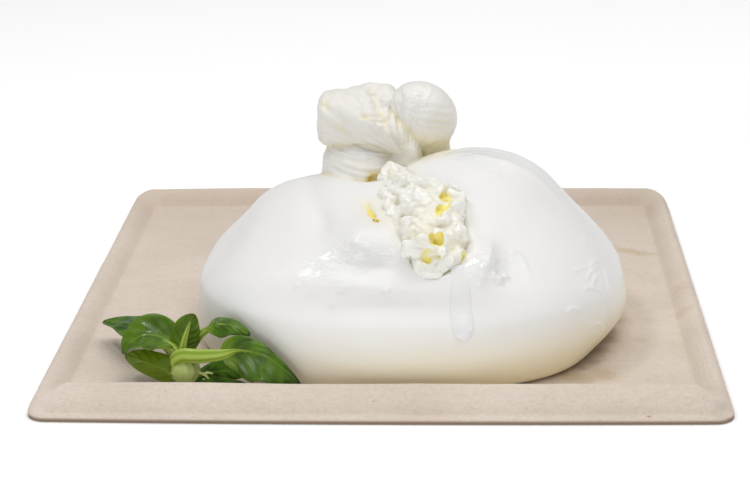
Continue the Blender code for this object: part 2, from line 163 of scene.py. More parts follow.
def surface_net(value, low, step):
    """Points and quads of the zero surface of a field sampled on a regular grid."""
    inside = value < 0.0
    shape = np.array(value.shape) - 1
    corners = list(np.ndindex(2, 2, 2))
    count = np.zeros(shape, np.int8)
    for corner in corners:
        count += inside[tuple(slice(i, i + size) for i, size in zip(corner, shape))]
    active = (count > 0) & (count < 8)
    cells = np.argwhere(active)
    number = np.full(active.shape, -1)
    number[active] = np.arange(len(cells))
    total = np.zeros((len(cells), 3))
    hits = np.zeros(len(cells))
    edges = [(corner, axis) for corner in corners for axis in range(3) if not corner[axis]]
    for corner, axis in edges:
        first = cells + corner
        a, b = value[tuple(first.T)], value[tuple((first + np.eye(3, dtype=int)[axis]).T)]
        cut = (a < 0.0) != (b < 0.0)
        place = first.astype(float)
        place[cut, axis] += a[cut] / (a[cut] - b[cut])
        total[cut] += place[cut]
        hits[cut] += 1
    quads = []
    for axis in range(3):
        one, two = (axis + 1) % 3, (axis + 2) % 3
        here = [slice(1, -1)] * 3
        here[axis] = slice(0, -1)
        there = list(here)
        there[axis] = slice(1, None)
        start = np.argwhere(inside[tuple(here)] != inside[tuple(there)]) + 1
        start[:, axis] -= 1
        square = []
        for back_one, back_two in ((1, 1), (0, 1), (0, 0), (1, 0)):
            cell = start.copy()
            cell[:, one] -= back_one
            cell[:, two] -= back_two
            square.append(number[tuple(cell.T)])
        quad = np.stack(square, 1)
        outward = inside[tuple(start.T)]
        quad[~outward] = quad[~outward][:, ::-1]
        quads.append(quad)
    return low + step * total / hits[:, None], np.vstack(quads)


def refine(points, quads, chosen):
    """Chosen quads split in four; the quads beside them are fanned, so that the mesh stays closed."""
    corner = quads[chosen]
    edges = np.sort(np.stack([corner, np.roll(corner, -1, axis=1)], -1).reshape(-1, 2), axis=1)
    split, which = np.unique(edges, axis=0, return_inverse=True)
    middle = len(points) + which.reshape(-1, 4)
    centre = len(points) + len(split) + np.arange(len(corner))
    parts = [np.stack([corner[:, i], middle[:, i], centre, middle[:, i - 1]], -1) for i in range(4)]
    touched = np.zeros(len(points), bool)
    touched[corner] = True
    beside = ~chosen & (touched[quads].sum(1) > 1)
    halfway = {tuple(edge): len(points) + number for number, edge in enumerate(split.tolist())}
    fans = []
    for quad in quads[beside].tolist():
        ring = []
        for first, second in zip(quad, quad[1:] + quad[:1]):
            ring.append(first)
            between = halfway.get((min(first, second), max(first, second)))
            if between is not None:
                ring.append(between)
        if len(ring) == 4:
            fans.append(ring)
            continue
        start = next(number for number, point in enumerate(ring) if point >= len(points))
        ring = ring[start:] + ring[:start]
        fans += [[ring[0], ring[i], ring[i + 1], ring[i + 1]] for i in range(1, len(ring) - 1)]
    places = np.vstack([points, points[split].mean(1), points[corner].mean(1)])
    return places, np.vstack([quads[~chosen & ~beside]] + parts + [np.array(fans)])


def sample(field, low, high, step):
    """Field on a regular grid over a box, a slab at a time."""
    axes = [np.arange(low[i], high[i] + step, step) for i in range(3)]
    value = np.empty([len(axis) for axis in axes], np.float32)
    plane = np.stack(np.meshgrid(axes[1], axes[2], indexing="ij"), -1).reshape(-1, 2)
    slab = 8
    for start in range(0, len(axes[0]), slab):
        xs = axes[0][start:start + slab]
        points = np.empty((len(xs), len(plane), 3))
        points[..., 0] = xs[:, None]
        points[..., 1:] = plane
        value[start:start + slab] = field(points.reshape(-1, 3)).reshape(len(xs), len(axes[1]), len(axes[2]))
    return value


def slope(field, points, reach=0.05):
    """Gradient of a field by central differences."""
    columns = []
    for axis in range(3):
        offset = np.zeros(3)
        offset[axis] = reach
        columns.append((field(points + offset) - field(points - offset)) / (2.0 * reach))
    return np.stack(columns, 1)


def settle(field, points, rounds=2, most=0.4):
    """Move points onto the field's zero surface; return them with the outward normals."""
    for _ in range(rounds):
        gradient = slope(field, points)
        move = field(points) / np.maximum((gradient ** 2).sum(-1), 0.05)
        points = points - np.clip(move, -most, most)[:, None] * gradient
    return points, unit(slope(field, points))


def shell_faces(rows, columns):
    """Faces of a closed sheet: a grid of top points, then the same grid underneath."""
    number = np.arange(rows * columns).reshape(rows, columns)
    quads = np.stack([number[:-1, :-1], number[1:, :-1], number[1:, 1:], number[:-1, 1:]], -1).reshape(-1, 4)
    rim = np.concatenate([number[0, :], number[1:, -1], number[-1, -2::-1], number[-2:0:-1, 0]])
    count = rows * columns
    after = np.roll(rim, -1)
    sides = np.stack([rim, after, after + count, rim + count], -1)
    return np.vstack([quads, quads[:, ::-1] + count, sides])


def tube_faces(rows, columns):
    """Faces of a tube of rings, each end closed onto one of the two points that follow the rings."""
    number = np.arange(rows * columns).reshape(rows, columns)
    after = np.roll(number, -1, axis=1)
    faces = [np.stack([number[:-1], after[:-1], after[1:], number[1:]], -1).reshape(-1, 4)]
    for one, two, tip in ((after[0], number[0], 0), (number[-1], after[-1], 1)):
        faces.append(np.column_stack([one, two, np.full((columns, 2), number.size + tip)]))
    return np.vstack(faces)


def sweep(path, *moves):
    """Grid of points: the path's points moved by moves of (direction at each point, amounts)."""
    return path[:, None] + sum(direction[:, None] * amount[..., None] for direction, amount in moves)


def add_object(name, data):
    """New object in the scene."""
    made = bpy.data.objects.new(name, data)
    bpy.context.scene.collection.objects.link(made)
    return made


def mesh_piece(name, points, faces, material, node=None, values=None):
    """Smooth-shaded piece from points in millimetres, riding on the part's only body.

    A face whose last two points are the same one is a triangle.
    """
    mesh = bpy.data.meshes.new(name)
    faces = [face[:3] if face[2] == face[3] else face for face in faces.tolist()]
    mesh.from_pydata((points * MM).tolist(), [], faces)
    mesh.validate()
    mesh.shade_smooth()
    for key, value in (values or {}).items():
        attribute = mesh.attributes.new(key, 'FLOAT', 'POINT')
        attribute.data.foreach_set("value", np.asarray(value, np.float32))
    mesh.materials.append(material)
    piece = add_object(name, mesh)
    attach(piece, BODY)
    if node:
        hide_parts(node)
    return piece


# ======== node materials
class Shader:
    """Principled material built from short calls."""

    def __init__(self, name, **settings):
        self.material = bpy.data.materials.new(name)
        self.material.use_nodes = True
        self.tree = self.material.node_tree
        self.set(**settings)

    def feed(self, node, inputs):
        """Link or set inputs of a node, by name or number."""
        for key, value in inputs.items():
            if isinstance(value, bpy.types.NodeSocket):
                self.tree.links.new(value, node.inputs[key])
            else:
                node.inputs[key].default_value = value

    def set(self, **settings):
        """Inputs of the principled shader, with _ for each space of their names."""
        shader = self.tree.nodes["Principled BSDF"]
        self.feed(shader, {key.replace("_", " "): value for key, value in settings.items()})

    def node(self, kind, inputs, **settings):
        """Outputs of a new node with these inputs and settings."""
        made = self.tree.nodes.new("ShaderNode" + kind)
        for key, value in settings.items():
            setattr(made, key, value)
        self.feed(made, inputs)
        return made.outputs

    def place(self, stretch=(1.0, 1.0, 1.0)):
        """Object coordinates in millimetres, stretched along each axis."""
        inputs = {"Vector": self.node("TexCoord", {})["Object"], "Scale": [share / MM for share in stretch]}
        return self.node("Mapping", inputs)["Vector"]

    def axis(self, name):
        """Place along one axis in millimetres."""
        return self.node("SeparateXYZ", {"Vector": self.place()})[name]

    def noise(self, size, detail=3.0, roughness=0.5, stretch=(1.0, 1.0, 1.0), distortion=0.0):
        """Noise between 0 and 1 with features about size millimetres across."""
        return self.node("TexNoise", {"Vector": self.place(stretch), "Scale": 1.0 / size, "Detail": detail,
                                      "Roughness": roughness, "Distortion": distortion})["Fac"]

    def value(self, name):
        """Value kept on the mesh's points."""
        return self.node("Attribute", {}, attribute_name=name)["Fac"]

    def math(self, operation, first, second):
        return self.node("Math", {0: first, 1: second}, operation=operation)[0]

    def ramp(self, value, low, high, start=0.0, end=1.0):
        """Smooth step of a value between low and high, from start to end."""
        return self.node("MapRange", {"Value": value, "From Min": low, "From Max": high, "To Min": start,
                                      "To Max": end}, interpolation_type='SMOOTHSTEP')["Result"]

    def over(self, colour, *layers):
        """Colour with layers of (share, strength, colour) laid over it in turn."""
        for share, strength, tint in layers:
            if strength != 1.0:
                share = self.math('MULTIPLY', share, strength)
            first, second = ((*part, 1.0) if isinstance(part, tuple) else part for part in (colour, tint))
            colour = self.node("Mix", {0: share, 6: first, 7: second}, data_type='RGBA')[2]
        return colour

    def bump(self, height, depth, **below):
        """Bump whose height of 1 stands depth millimetres out, over the normal of another one."""
        return self.node("Bump", {"Height": height, "Distance": depth * MM, **below})["Normal"]


# ======== the pouch and its knot
skin_low, skin_high = box_mm("skin")
PASSING_LEFT = 1.3         # the pouch's centre lies this far left of the middle of the skin's box,
PASSING_BACK = 0.4         # this far behind it
CENTRE_HEIGHT = 19.7       # and this far over its foot
CHEESE = np.array([(skin_low[0] + skin_high[0]) / 2 - PASSING_LEFT,
                   (skin_low[1] + skin_high[1]) / 2 + PASSING_BACK, skin_low[2] + CENTRE_HEIGHT])
FOOT = skin_low[2] - CHEESE[2]
SKIN_STEP = 0.90           # spacing of the skin's mesh, half of it in the boxes below
SKIN_ROOM = 1.5            # the grid reaches this far beyond the skin's box
FAR = 99.0                 # open side of a box
# finely wrinkled parts: the knot, the wet band, the lower right
FINE_BOXES = (((-31.0, 0.0, 22.0), (19.0, 20.0, FAR)), ((-36.0, -FAR, 7.0), (36.0, -31.0, FAR)),
              ((44.0, -FAR, -12.0), (FAR, -10.0, FAR)))
KNOT_BOX = ((-34.0, 0.0, 8.0), (22.0, 42.0, FAR))
TEAR_BOX = ((-26.0, -FAR, -FAR), (26.0, 14.0, FAR))

HALF_WIDTH = 65.4
WIDER_RIGHT = 1.3
HALF_DEPTH = 56.0
RISE = 29.3
SINK = 33.0
PLAN_SQUARENESS = 2.35
UPPER_ROUNDNESS = 1.62
LOWER_ROUNDNESS = 3.8
POUCH_SCALE = 0.9          # makes the height over the pouch nearly a distance
TEAR_SHARE = 0.75          # share of the tear's depth that is dug into that distance,
TEAR_SINK = 0.83           # and what it comes to along the radius
SKIN_NOISE = ((0.45, 19.0, 1), (0.20, 9.0, 3), (0.07, 4.0, 2))     # (height, size, seed)
# (centre, spread, height out of the dome)
SWELLS = (
    ((26.5, 5.5, 27.5), (23, 23, 23), 11.6),  # right shoulder
    ((-36.5, 2, 21.5), (15, 20, 15), 5),      # left shoulder
    ((-9, 9, 26), (9, 10, 12), -6.5),         # dip before the collar
    ((-64.5, -5, -16), (12, 28, 8), 1.8),     # left foot
    ((-59.5, -2, 9), (14, 28, 10), -2.6),     # slack upper left flank
    ((64.5, -2, 6), (12, 28, 8), -1.6),       # slack upper right flank
    ((69.5, 0, -8), (12, 28, 7), 1.4),        # right flank
    ((58, -20, -19), (14, 24, 8), -3.6),      # tucked right foot
    ((-4, -54, 5.2), (30, 14, 5), -5.4),      # hollow over the belly
    ((-1.5, -55, -7), (40, 14, 8), 1.3),      # belly roll
    ((-10.5, -34, 22), (8, 9, 5.5), 4.9),     # lip below the slit
    ((-8, -43.5, 14.4), (12, 8, 3.4), -3.6),  # shade under that lip
    ((22.5, -40, 16.2), (4.6, 9, 5.5), 3.8),  # ridge right of the tear
    ((31, -42, 10.5), (7, 8, 5), -1),         # hollow beyond the ridge
    ((5, -47, 11.5), (7, 6, 2.8), -2),        # hollow under the curds
    ((-18, -48.5, 8.6), (4, 6, 1.8), -0.7),   # dimple left of the belly's hollow
    ((-25, -24, 22), (4.5, 14, 7), -1.4),     # soft valley left of the lip
)


def pouch_radius(direction):
    """Distance from the pouch's centre to its surface along unit directions."""
    x, y, z = direction.T
    rise = np.where(z > 0.0, RISE, SINK)
    roundness = np.where(z > 0.0, UPPER_ROUNDNESS, LOWER_ROUNDNESS)
    plan = (np.abs(x / (HALF_WIDTH + WIDER_RIGHT * x)) ** PLAN_SQUARENESS
            + np.abs(y / HALF_DEPTH) ** PLAN_SQUARENESS) ** (1.0 / PLAN_SQUARENESS)
    radius = (plan ** roundness + np.abs(z / rise) ** roundness) ** (-1.0 / roundness)
    place = direction * radius[:, None]
    for centre, spread, height in SWELLS:
        radius = radius + height * bell(place, centre, spread)
    return radius


# the tear, from its front end to the collar: (y, x, half-width, depth)
TEAR = (
    (-45, 10.3, 3, 0), (-43.6, 10.2, 5, 1.6), (-41.5, 10, 7.6, 3.6), (-38, 9.5, 9.4, 5),
    (-34, 8.9, 10.4, 5.5), (-29, 7.7, 10.7, 5.5), (-25, 7.1, 10.5, 5.5), (-20, 6.2, 10, 5.2),
    (-16, 2.6, 6.8, 5), (-11, -0.2, 4.9, 4.5), (-2, -3.2, 4, 3), (5.5, -3.6, 3, 1.5), (9, -4.5, 1, 0),
)
LIP_RISE = 0.7             # the tear's edges stand up this much
LIP_PLACE = 1.12
LIP_WIDTH = 0.16


def tear_reach(points):
    """Place across the tear, 0 in its middle and 1 on its edge, and its depth there."""
    middle, half, depth = profile(points[:, 1], TEAR)
    return np.abs(points[:, 0] - middle) / half, depth


def tear_depth(points):
    """How deep the tear sinks the pouch's surface; negative on the raised edges."""
    across, depth = tear_reach(points)
    hollow = depth * np.maximum(1.0 - across ** 2, 0.0)
    lip = LIP_RISE * np.exp(-((across - LIP_PLACE) / LIP_WIDTH) ** 2) * smooth_step(depth, 2.0, 5.0)
    return (hollow - lip) * (points[:, 2] > 0.0)


def over_pouch(points):
    """Height over the pouch's plain surface, along its radius."""
    distance = np.maximum(length(points), 1e-6)
    return distance - pouch_radius(points / distance[:, None])


SLIT = ((-11.2, -19, 26.2), (-9.8, -24, 25.2), (-8, -30, 23.2))
SLIT_RADIUS = 0.95
SLIT_DEPTH = 3.2
HOLE = (-9.3, 3.8, 26.5)
HOLE_RADII = (2.4, 3.6, 1.7)

COLLAR_MIDDLE = -14.0
COLLAR_BACK = 31.5
# (height, radius along x, y of its front): the front flares out into the pouch
COLLAR_PROFILE = (
    (10, 11, 6), (16, 12.4, 3), (22, 13.2, 2.5), (27, 12.8, 3.8), (30.5, 12.5, 5.6), (33, 11.6, 7.6),
    (35.4, 9.8, 10.5),
)
COLLAR_DROP = 0.045        # the collar's top falls this much for each millimetre past its middle, squared
# fan: (x, middle height, half-height, middle depth, half-depth)
FAN_PROFILE = (
    (-28.3, 41.6, 3, 20, 3), (-27.6, 41.8, 6.6, 20, 7), (-26, 42.2, 8.5, 20, 9), (-22, 42.4, 9, 19.6, 9.8),
    (-17, 42, 8.8, 19, 10.2), (-11, 40.5, 7.8, 18.2, 10), (-6.5, 39, 7.2, 17.2, 9),
    (-2, 37, 6.4, 15.8, 7.4), (1.1, 35, 5.4, 14.6, 5.6), (3.6, 33.6, 3.8, 13.6, 3.8),
    (4.8, 32.6, 1.8, 13.2, 1.8),
)
# little tears of the fan's face: (centre, spread, depth)
FAN_PITS = (
    ((-8.2, 9, 45.2), (2.4, 2.5, 0.7), 0.9), ((-7.2, 9, 43.7), (1.8, 2.5, 0.6), 0.8),
    ((-18, 11, 50.4), (2.2, 3, 0.7), 0.8), ((-25.4, 12, 48.2), (1.2, 3, 1.4), 0.7),
    ((-12.6, 9, 44.9), (1.6, 2.5, 0.5), 0.5),
)
PINCH = (0.5, 31.0)        # x and height where the fan's folds run together
# the ball, and the lobes of the knot, of which the first two are crumpled: (centre, radii)
BALL = (((6.1, 20, 41.6), (9.6, 10, 9.6)), ((3.2, 19.5, 44.9), (8.7, 8.6, 8.5)))
BALL_BLEND = 3.0
LOBES = (
    ((-13.6, 23, 44.6), (5.2, 7, 7.6)), ((-7.2, 22.5, 44.2), (5.4, 7, 7.2)),
    ((-3.5, 27, 33), (12.5, 9.5, 13)), ((1.6, 9.4, 33.6), (1.9, 1.4, 2.6)), ((-0.5, 12, 29), (5.5, 4.5, 5)),
)
# neck under the ball: (height, x, y, radius)
NECK_PROFILE = ((18, 7.4, 21.5, 7.6), (28, 7.6, 21, 6.4), (33, 7.4, 20.4, 5.9), (38, 6.4, 20, 6.4))


def ellipsoid(points, centre, radii):
    offset = (points - np.array(centre)) / np.array(radii)
    return (length(offset) - 1.0) * min(radii)


def collar_field(points):
    """Field of the collar, an oval wall with upright pleats."""
    x, y, z = points.T
    x = x - COLLAR_MIDDLE
    drop = COLLAR_DROP * np.maximum(x - 2.0, 0.0) ** 2
    radius_x, front = profile(z + drop, COLLAR_PROFILE)
    radius_y = (COLLAR_BACK - front) / 2.0
    y = y - (COLLAR_BACK + front) / 2.0
    angle = np.arctan2(y / radius_y, x / radius_x)
    pleats = 0.16 * np.cos(7.0 * angle + 0.16 * z) + 0.10 * np.cos(13.0 * angle + 1.2)
    wall = (np.hypot(x / radius_x, y / radius_y) - 1.0) * np.minimum(radius_x, radius_y) - pleats
    return -merge(-wall, COLLAR_PROFILE[-1][0] - drop - z, 1.6)


def round_pinch(points):
    """Angle and distance of points round the pinch, in the upright plane of the fan's face."""
    x = points[:, 0] - PINCH[0]
    up = points[:, 2] - PINCH[1]
    return np.arctan2(up, -x), np.hypot(x, up)


def fan_field(points):
    """Field of the fan, with folds that run together at the pinch."""
    x, y, z = points.T
    height, half_height, depth, half_depth = profile(x, FAN_PROFILE)
    size = np.minimum(half_height, half_depth)
    turn, reach = round_pinch(points)
    folds = 0.30 * noise(np.column_stack([4.5 * turn, 0.10 * reach, 0.05 * y]), 1.0, 3)
    wall = (np.hypot((z - height) / half_height, (y - depth) / half_depth) - 1.0) * size
    ends = np.maximum(FAN_PROFILE[0][0] - x, x - FAN_PROFILE[-1][0])
    return -merge(-(wall - folds * smooth_step(reach, 2.0, 12.0)), -ends, 1.2)


def neck_field(points):
    """Field of the neck that carries the ball."""
    x, y, radius = profile(points[:, 2], NECK_PROFILE)
    wall = np.hypot(points[:, 0] - x, points[:, 1] - y) - radius
    return np.maximum(wall, points[:, 2] - NECK_PROFILE[-1][0])


def ball_field(points):
    return merge(ellipsoid(points, *BALL[0]), ellipsoid(points, *BALL[1]), BALL_BLEND)


def knot_field(points):
    """Field of the whole knot over the collar: lobes, fan, ball and neck."""
    bent = points + 1.1 * shift(points, 3.6, 41)
    field = merge(ellipsoid(bent, *LOBES[0]), ellipsoid(bent, *LOBES[1]), 2.5)
    field = merge(field, ellipsoid(points, *LOBES[2]), 2.0)
    field = merge(field, fan_field(points), 1.8)
    field = merge(field, ellipsoid(points, *LOBES[3]), 1.0)
    field = merge(field, ellipsoid(points, *LOBES[4]), 1.2)
    return merge(field, merge(ball_field(points), neck_field(points), 1.6), 0.8)


def skin_field(points):
    """Distance-like field of the whole skin: pouch, collar and knot, with the tear's groove."""
    pouch = over_pouch(points) * POUCH_SCALE
    field = pouch.copy()
    near_knot = within(points, KNOT_BOX)
    if near_knot.any():
        close = points[near_knot]
        x, y, _ = close.T
        blend = 0.8 + 2.4 * smooth_step(11.0 - y, 0.0, 6.0) * smooth_step(-x, 15.0, 20.0)
        below = merge(pouch[near_knot], collar_field(close), blend)
        field[near_knot] = merge(below, knot_field(close), 0.8)
    near_tear = within(points, TEAR_BOX) & (np.abs(pouch) < 12.0)
    if near_tear.any():
        close = points[near_tear]
        dug = field[near_tear] + TEAR_SHARE * tear_depth(close)
        gap, _ = to_curve(close, np.array(SLIT))
        slit = np.maximum(gap - SLIT_RADIUS, -SLIT_DEPTH - pouch[near_tear])
        dug = carve(dug, slit, 0.5)
        field[near_tear] = carve(dug, ellipsoid(close, HOLE, HOLE_RADII), 0.4)
    return -merge(-field, points[:, 2] - FOOT, 2.2)


# soft creases and folds of the skin itself: (half-width, height, points of the line)
CREASES = (
    (3.2, -1.1, ((-26.5, 9, 24.5), (-28, -5, 25.5), (-27.6, -15, 24.8), (-26, -23, 22.6),
      (-22.5, -32.5, 19.5))),
    (1.8, 0.45, ((18, 0.4, 35.1), (25.6, -0.3, 34.9), (34.7, -1.8, 32.2), (42.3, -2.9, 27.4),
      (50, -4, 21.4))),
    (1.6, 0.4, ((14, 8, 34), (22.7, 8.5, 35), (33, 7.5, 33.2), (43, 5, 27.6))),
)
# fine wrinkles standing out of the skin
WRINKLES = (
    (0.6, 0.36, ((52.3, -35.6, 5.1), (55.5, -33, 4.8), (58.6, -30.2, 2.2), (60, -29, -1.5),
      (61.7, -26.6, -7.1))),
    (0.55, 0.3, ((54.8, -26.3, 8.5), (57, -22, 9), (60, -18, 7), (62, -20, 4.2))),
    (0.5, 0.26, ((58.6, -18.7, 7.7), (60.2, -24, 3.4), (60, -28.6, 0.4))),
    (0.5, 0.26, ((56, -33.2, 4.6), (56.4, -29.4, 5.8), (57.6, -25.4, 6.8))),
    (0.5, 0.24, ((53.2, -31, 6.8), (54.6, -27.6, 7.6), (56.6, -23, 7.8), (58.4, -20.6, 6.2))),
    (0.6, 0.38, ((47.1, -43.4, 0.9), (49.8, -41.4, 1.5), (52.5, -38.9, -0.8))),
    (0.55, 0.3, ((55.4, -35.8, -6.1), (57.6, -33.4, -6.6), (59.1, -30.7, -9.3))),
    (0.55, 0.24, ((50.4, -33, 9.8), (53.4, -29.6, 9.6), (55.4, -26.6, 8.8))),
    (0.6, 0.22, ((49, -40.2, -1.6), (52, -38, -3.4), (54.6, -36, -6.4), (56, -34.4, -10.4))),
    (0.8, 0.36, ((30.8, -34.5, 17.3), (34.2, -35.3, 15.4), (36.2, -38.8, 12.4), (37.8, -43.2, 8.5))),
    (0.9, 0.36, ((-21.6, -50.2, 5.6), (-20.2, -48.6, 8.6), (-17.2, -48.1, 9.9), (-14.4, -48.6, 9.8))),
    (0.9, 0.36, ((21.6, -44.4, 13.4), (23, -42.4, 15.2), (24.8, -38.6, 17.8), (27, -33, 20.4))),
    (1, 0.45, ((-15, -36.6, 20.4), (-11.4, -38.6, 19.6), (-7.6, -40.2, 18.2), (-3.4, -41.4, 16.8))),
    (0.7, 0.34, ((24, -44.6, 12), (28.6, -44, 11.6), (33, -42.6, 11.4))),
)
# small pimples: (centre, size, height)
PIMPLES = (
    ((-4.8, -49.1, 9.4), 0.8, 0.6), ((-21, -50.6, 5.4), 0.9, 0.7), ((28, -44.3, 11.3), 1.2, 1.1),
    ((26.2, -43.6, 12.8), 0.9, 0.7), ((30.2, -43.2, 11.8), 0.8, 0.5), ((27.6, -8.9, 31.9), 0.9, 0.4),
    ((25.2, -11.6, 31.2), 0.9, 0.35), ((54, -14.5, 13.2), 0.8, 0.4), ((43.1, -46.1, -10.8), 0.8, 0.45),
    ((59.1, -30.7, -9.3), 0.8, 0.5), ((5.9, -51.6, 6.4), 0.7, 0.4), ((-30.6, -44.6, 9.6), 0.7, 0.35),
    ((22.4, -45, 12.2), 1, 0.5), ((21.6, -46, 10.4), 0.8, 0.4),
)
# wet places: (centre, spread); the first is the patch by the slit
WET_SPOTS = (
    ((-19, -41, 15), (11, 10, 6)), ((1.5, 13, 49), (7, 7, 6)), ((24, -41, 15), (9, 8, 6)),
    ((-8, -40, 18), (9, 5, 3.5)), ((22, 3, 36), (14, 10, 4)), ((-14, 9, 34), (9, 4, 3)),
    ((2, 9, 33.5), (3, 4, 3.5)),
)
# where the relief, the tints and the painted shade lie: (centre, spread)
ROUGH_TOP = ((1.5, 13, 49.5), (5, 5, 4))
CROWN = ((-9, 19, 49), (9, 9, 6))
BALL_LINES = ((10, 11, 43), (5.5, 8, 3.4))
FAN_LINES = ((-13, 12, 42), (18, 11, 11))
COLLAR_LINES = ((-14, 8, 29), (16, 9, 5))
# painted warm shade under the ball, and on the ball's lower half
UNDER_BALL_SHADE = ((8, 15, 31), (9, 9, 7))
LOW_BALL_SHADE = ((6, 12, 34.5), (9, 9, 5))
HOLE_INSIDE = (HOLE, (2.4, 4, 1.9))
# painted shade deep in the hole's left side, over its yellow whey
HOLE_SHADE_SPOT = ((-11.3, 3.8, 26.3), (1.1, 4, 1.6))


def wet_share(points):
    """How wet the skin is, 0 to 1: a broken film round the lip and the ridge, and a few spots."""
    return np.clip(sum(bell(points, *spot) for spot in WET_SPOTS), 0.0, 1.0)


def on_pouch(points):
    """Points moved along their radius onto the pouch's surface, down in the tear's groove."""
    direction = points / length(points)[:, None]
    place = direction * pouch_radius(direction)[:, None]
    return place - direction * (TEAR_SINK * tear_depth(place))[:, None]


def skin_relief(points):
    """How far each point of the skin stands out of the plain form."""
    lift = uneven(points, SKIN_NOISE)
    for half_width, height, line in CREASES + WRINKLES:
        path = on_pouch(curve_points(line, 5 * len(line)))
        near = length(points - path.mean(0)) < length(path - path.mean(0)).max() + 4.0 * half_width
        gap, along = to_curve(points[near], path)
        fade = smooth_step(along, 0.0, 0.15) * smooth_step(1.0 - along, 0.0, 0.25)
        lift[near] += height * np.exp(-(gap / half_width) ** 2) * fade
    for centre, size, height in PIMPLES:
        lift += height * bell(points, on_pouch(np.array([centre]))[0], (size,) * 3)
    # fine rough lines that break up the shine of the wet band
    lift += 0.11 * wet_share(points) * noise(points * np.array([0.5, 1.0, 1.5]), 1.2, 5)
    lift += 0.30 * bell(points, *ROUGH_TOP) * noise(points, 1.7, 11)
    # crumpled top between the fan and the ball
    lift += bell(points, *CROWN) * (0.9 * ridges(points, 3.2, 12) + 0.4 * ridges(points, 1.6, 13) - 0.9)
    for centre, spread, depth in FAN_PITS:
        lift -= depth * bell(points, centre, spread)
    return lift + knot_lines(points)


def knot_lines(points):
    """Fine drawn lines of the knot: how far each point stands out, below 0 in their grooves."""
    x, y, z = points.T
    # tight lines across the lower right of the ball
    drift = z + 0.12 * x + 0.8 * noise(points, 5.0, 6)
    lift = 0.80 * bell(points, *BALL_LINES) * (1.0 - np.abs(np.sin(1.6 * drift)) - 0.55)
    # folds of the fan, running together at the pinch
    turn, reach = round_pinch(points)
    fan = bell(points, *FAN_LINES) * smooth_step(reach, 1.5, 6.0)
    turn = turn + 0.03 * noise(points, 5.0, 10)
    fine = ridges(np.column_stack([8.0 * turn, 0.06 * reach, 0.05 * y]), 1.0, 8) - 0.6
    finer = ridges(np.column_stack([19.0 * turn, 0.12 * reach, 0.08 * y]), 1.0, 9) - 0.6
    lift += fan * (1.6 * fine + 0.9 * finer + 0.25 * noise(points, 1.4, 14))
    # level drawn lines round the collar
    lines = np.sin(3.4 * z + 0.5 * x + 2.2 * noise(points * np.array([0.3, 1, 1]), 4.0, 7))
    return lift + 0.20 * bell(points, *COLLAR_LINES) * lines


def make_skin(material):
    low = skin_low - CHEESE - SKIN_ROOM
    high = skin_high - CHEESE + SKIN_ROOM
    step = SKIN_STEP
    points, quads = surface_net(sample(skin_field, low, high, step), low, step)
    middle = points[quads].mean(1)
    points, quads = refine(points, quads, np.any([within(middle, box) for box in FINE_BOXES], axis=0))
    points, normals = settle(skin_field, points)
    off_floor = smooth_step(points[:, 2], FOOT, FOOT + 3.0)
    points = points + normals * (skin_relief(points) * off_floor)[:, None]
    # the cream value holds thin cream and painted warm shade
    values = {"cream": cream_and_shade_share(points), "butter": butter_share(points), "wet": wet_share(points),
              "hole": bell(points, *HOLE_SHADE_SPOT), "knot": knot_share(points)}
    return mesh_piece("burrata_skin", points + CHEESE, quads, material, "skin", values)


def knot_share(points):
    """1 on the knot, which is tinted duller and warmer than the pouch."""
    x, y, z = points.T
    return smooth_step(z, 26.0, 31.0) * (y > 2.0) * (x < 15.0)


def inside_tear(points):
    """1 on the floor of the tear, 0 beyond its edges."""
    across, depth = tear_reach(points)
    return smooth_step(1.05 - across, 0.0, 0.6) * (points[:, 2] > 5.0) * smooth_step(depth, 0.5, 3.0)


def cream_and_shade_share(points):
    """Share of thin cream and painted warm shade on the skin: cream round its openings and in the tear,
    painted shade in the knot's creases and grooves, under the ball and on its lower half.
    """
    across, _ = tear_reach(points)
    over = np.abs(over_pouch(points))
    edge = np.exp(-((across - 1.0) / 0.35) ** 2) * smooth_step(points[:, 2], 12.0, 20.0) * (over < 7.0)
    slit_gap, _ = to_curve(points, np.array(SLIT))
    round_slit = np.exp(-(slit_gap / 4.0) ** 2) * (over < 4.0)
    # painted shade in the grooves of the knot's fine lines
    grooves = smooth_step(-knot_lines(points), 0.04, 0.5)
    cream = (0.55 * bell(points, *LOW_BALL_SHADE) + 0.3 * edge + 0.9 * inside_tear(points)
             + 0.8 * crease_shade_share(points) + 0.7 * bell(points, *UNDER_BALL_SHADE) + 0.6 * grooves
             + 0.45 * round_slit)
    return np.clip(cream, 0.0, 1.0)


def butter_share(points):
    """Share of yellow cream on the skin: inside the slit, the hole, the tear and the fan's pits."""
    gap, _ = to_curve(points, np.array(SLIT))
    sunk = smooth_step(-over_pouch(points) - TEAR_SHARE * tear_depth(points), 0.2, 0.9)
    slit = smooth_step(1.7 - gap, 0.0, 0.6) * sunk
    pits = sum(bell(points, centre, spread) for centre, spread, depth in FAN_PITS)
    return np.clip(slit + bell(points, *HOLE_INSIDE) + 0.35 * pits + 0.55 * inside_tear(points), 0.0, 1.0)


def crease_shade_share(points):
    """Share of painted warm shade in the knot's creases: where two forms of the knot meet."""
    fields = (collar_field, fan_field, ball_field, neck_field, over_pouch)
    gaps = np.sort([np.abs(field(points)) for field in fields], axis=0)
    return smooth_step(2.4 - gaps[1], 0.0, 2.0) * smooth_step(points[:, 2], 22.0, 26.0)


MILK = (0.85, 0.842, 0.832)
MILK_SHADE = (0.835, 0.826, 0.815)
KNOT_TINT = (0.81, 0.788, 0.735)
# whey showing through the foot, with painted bounce light and shade from the tray
FOOT_WHEY_AND_SHADE = (0.92, 0.82, 0.55)
FOOT_SHADE_REACH = 27.0          # height at which the foot's whey tint and painted shade end
# thin cream, also laid as painted warm shade in the knot's creases and grooves and under the ball
CREAM_AND_SHADE_TINT = (0.84, 0.77, 0.52)
SKIN_BUTTER = (0.93, 0.78, 0.16)
# painted shade in the hole's depth, over yellow whey
HOLE_SHADE = (0.55, 0.40, 0.03)
# painted sheen: the base colour lightened on the wet spots
WET_SHEEN_TINT = (0.93, 0.925, 0.915)


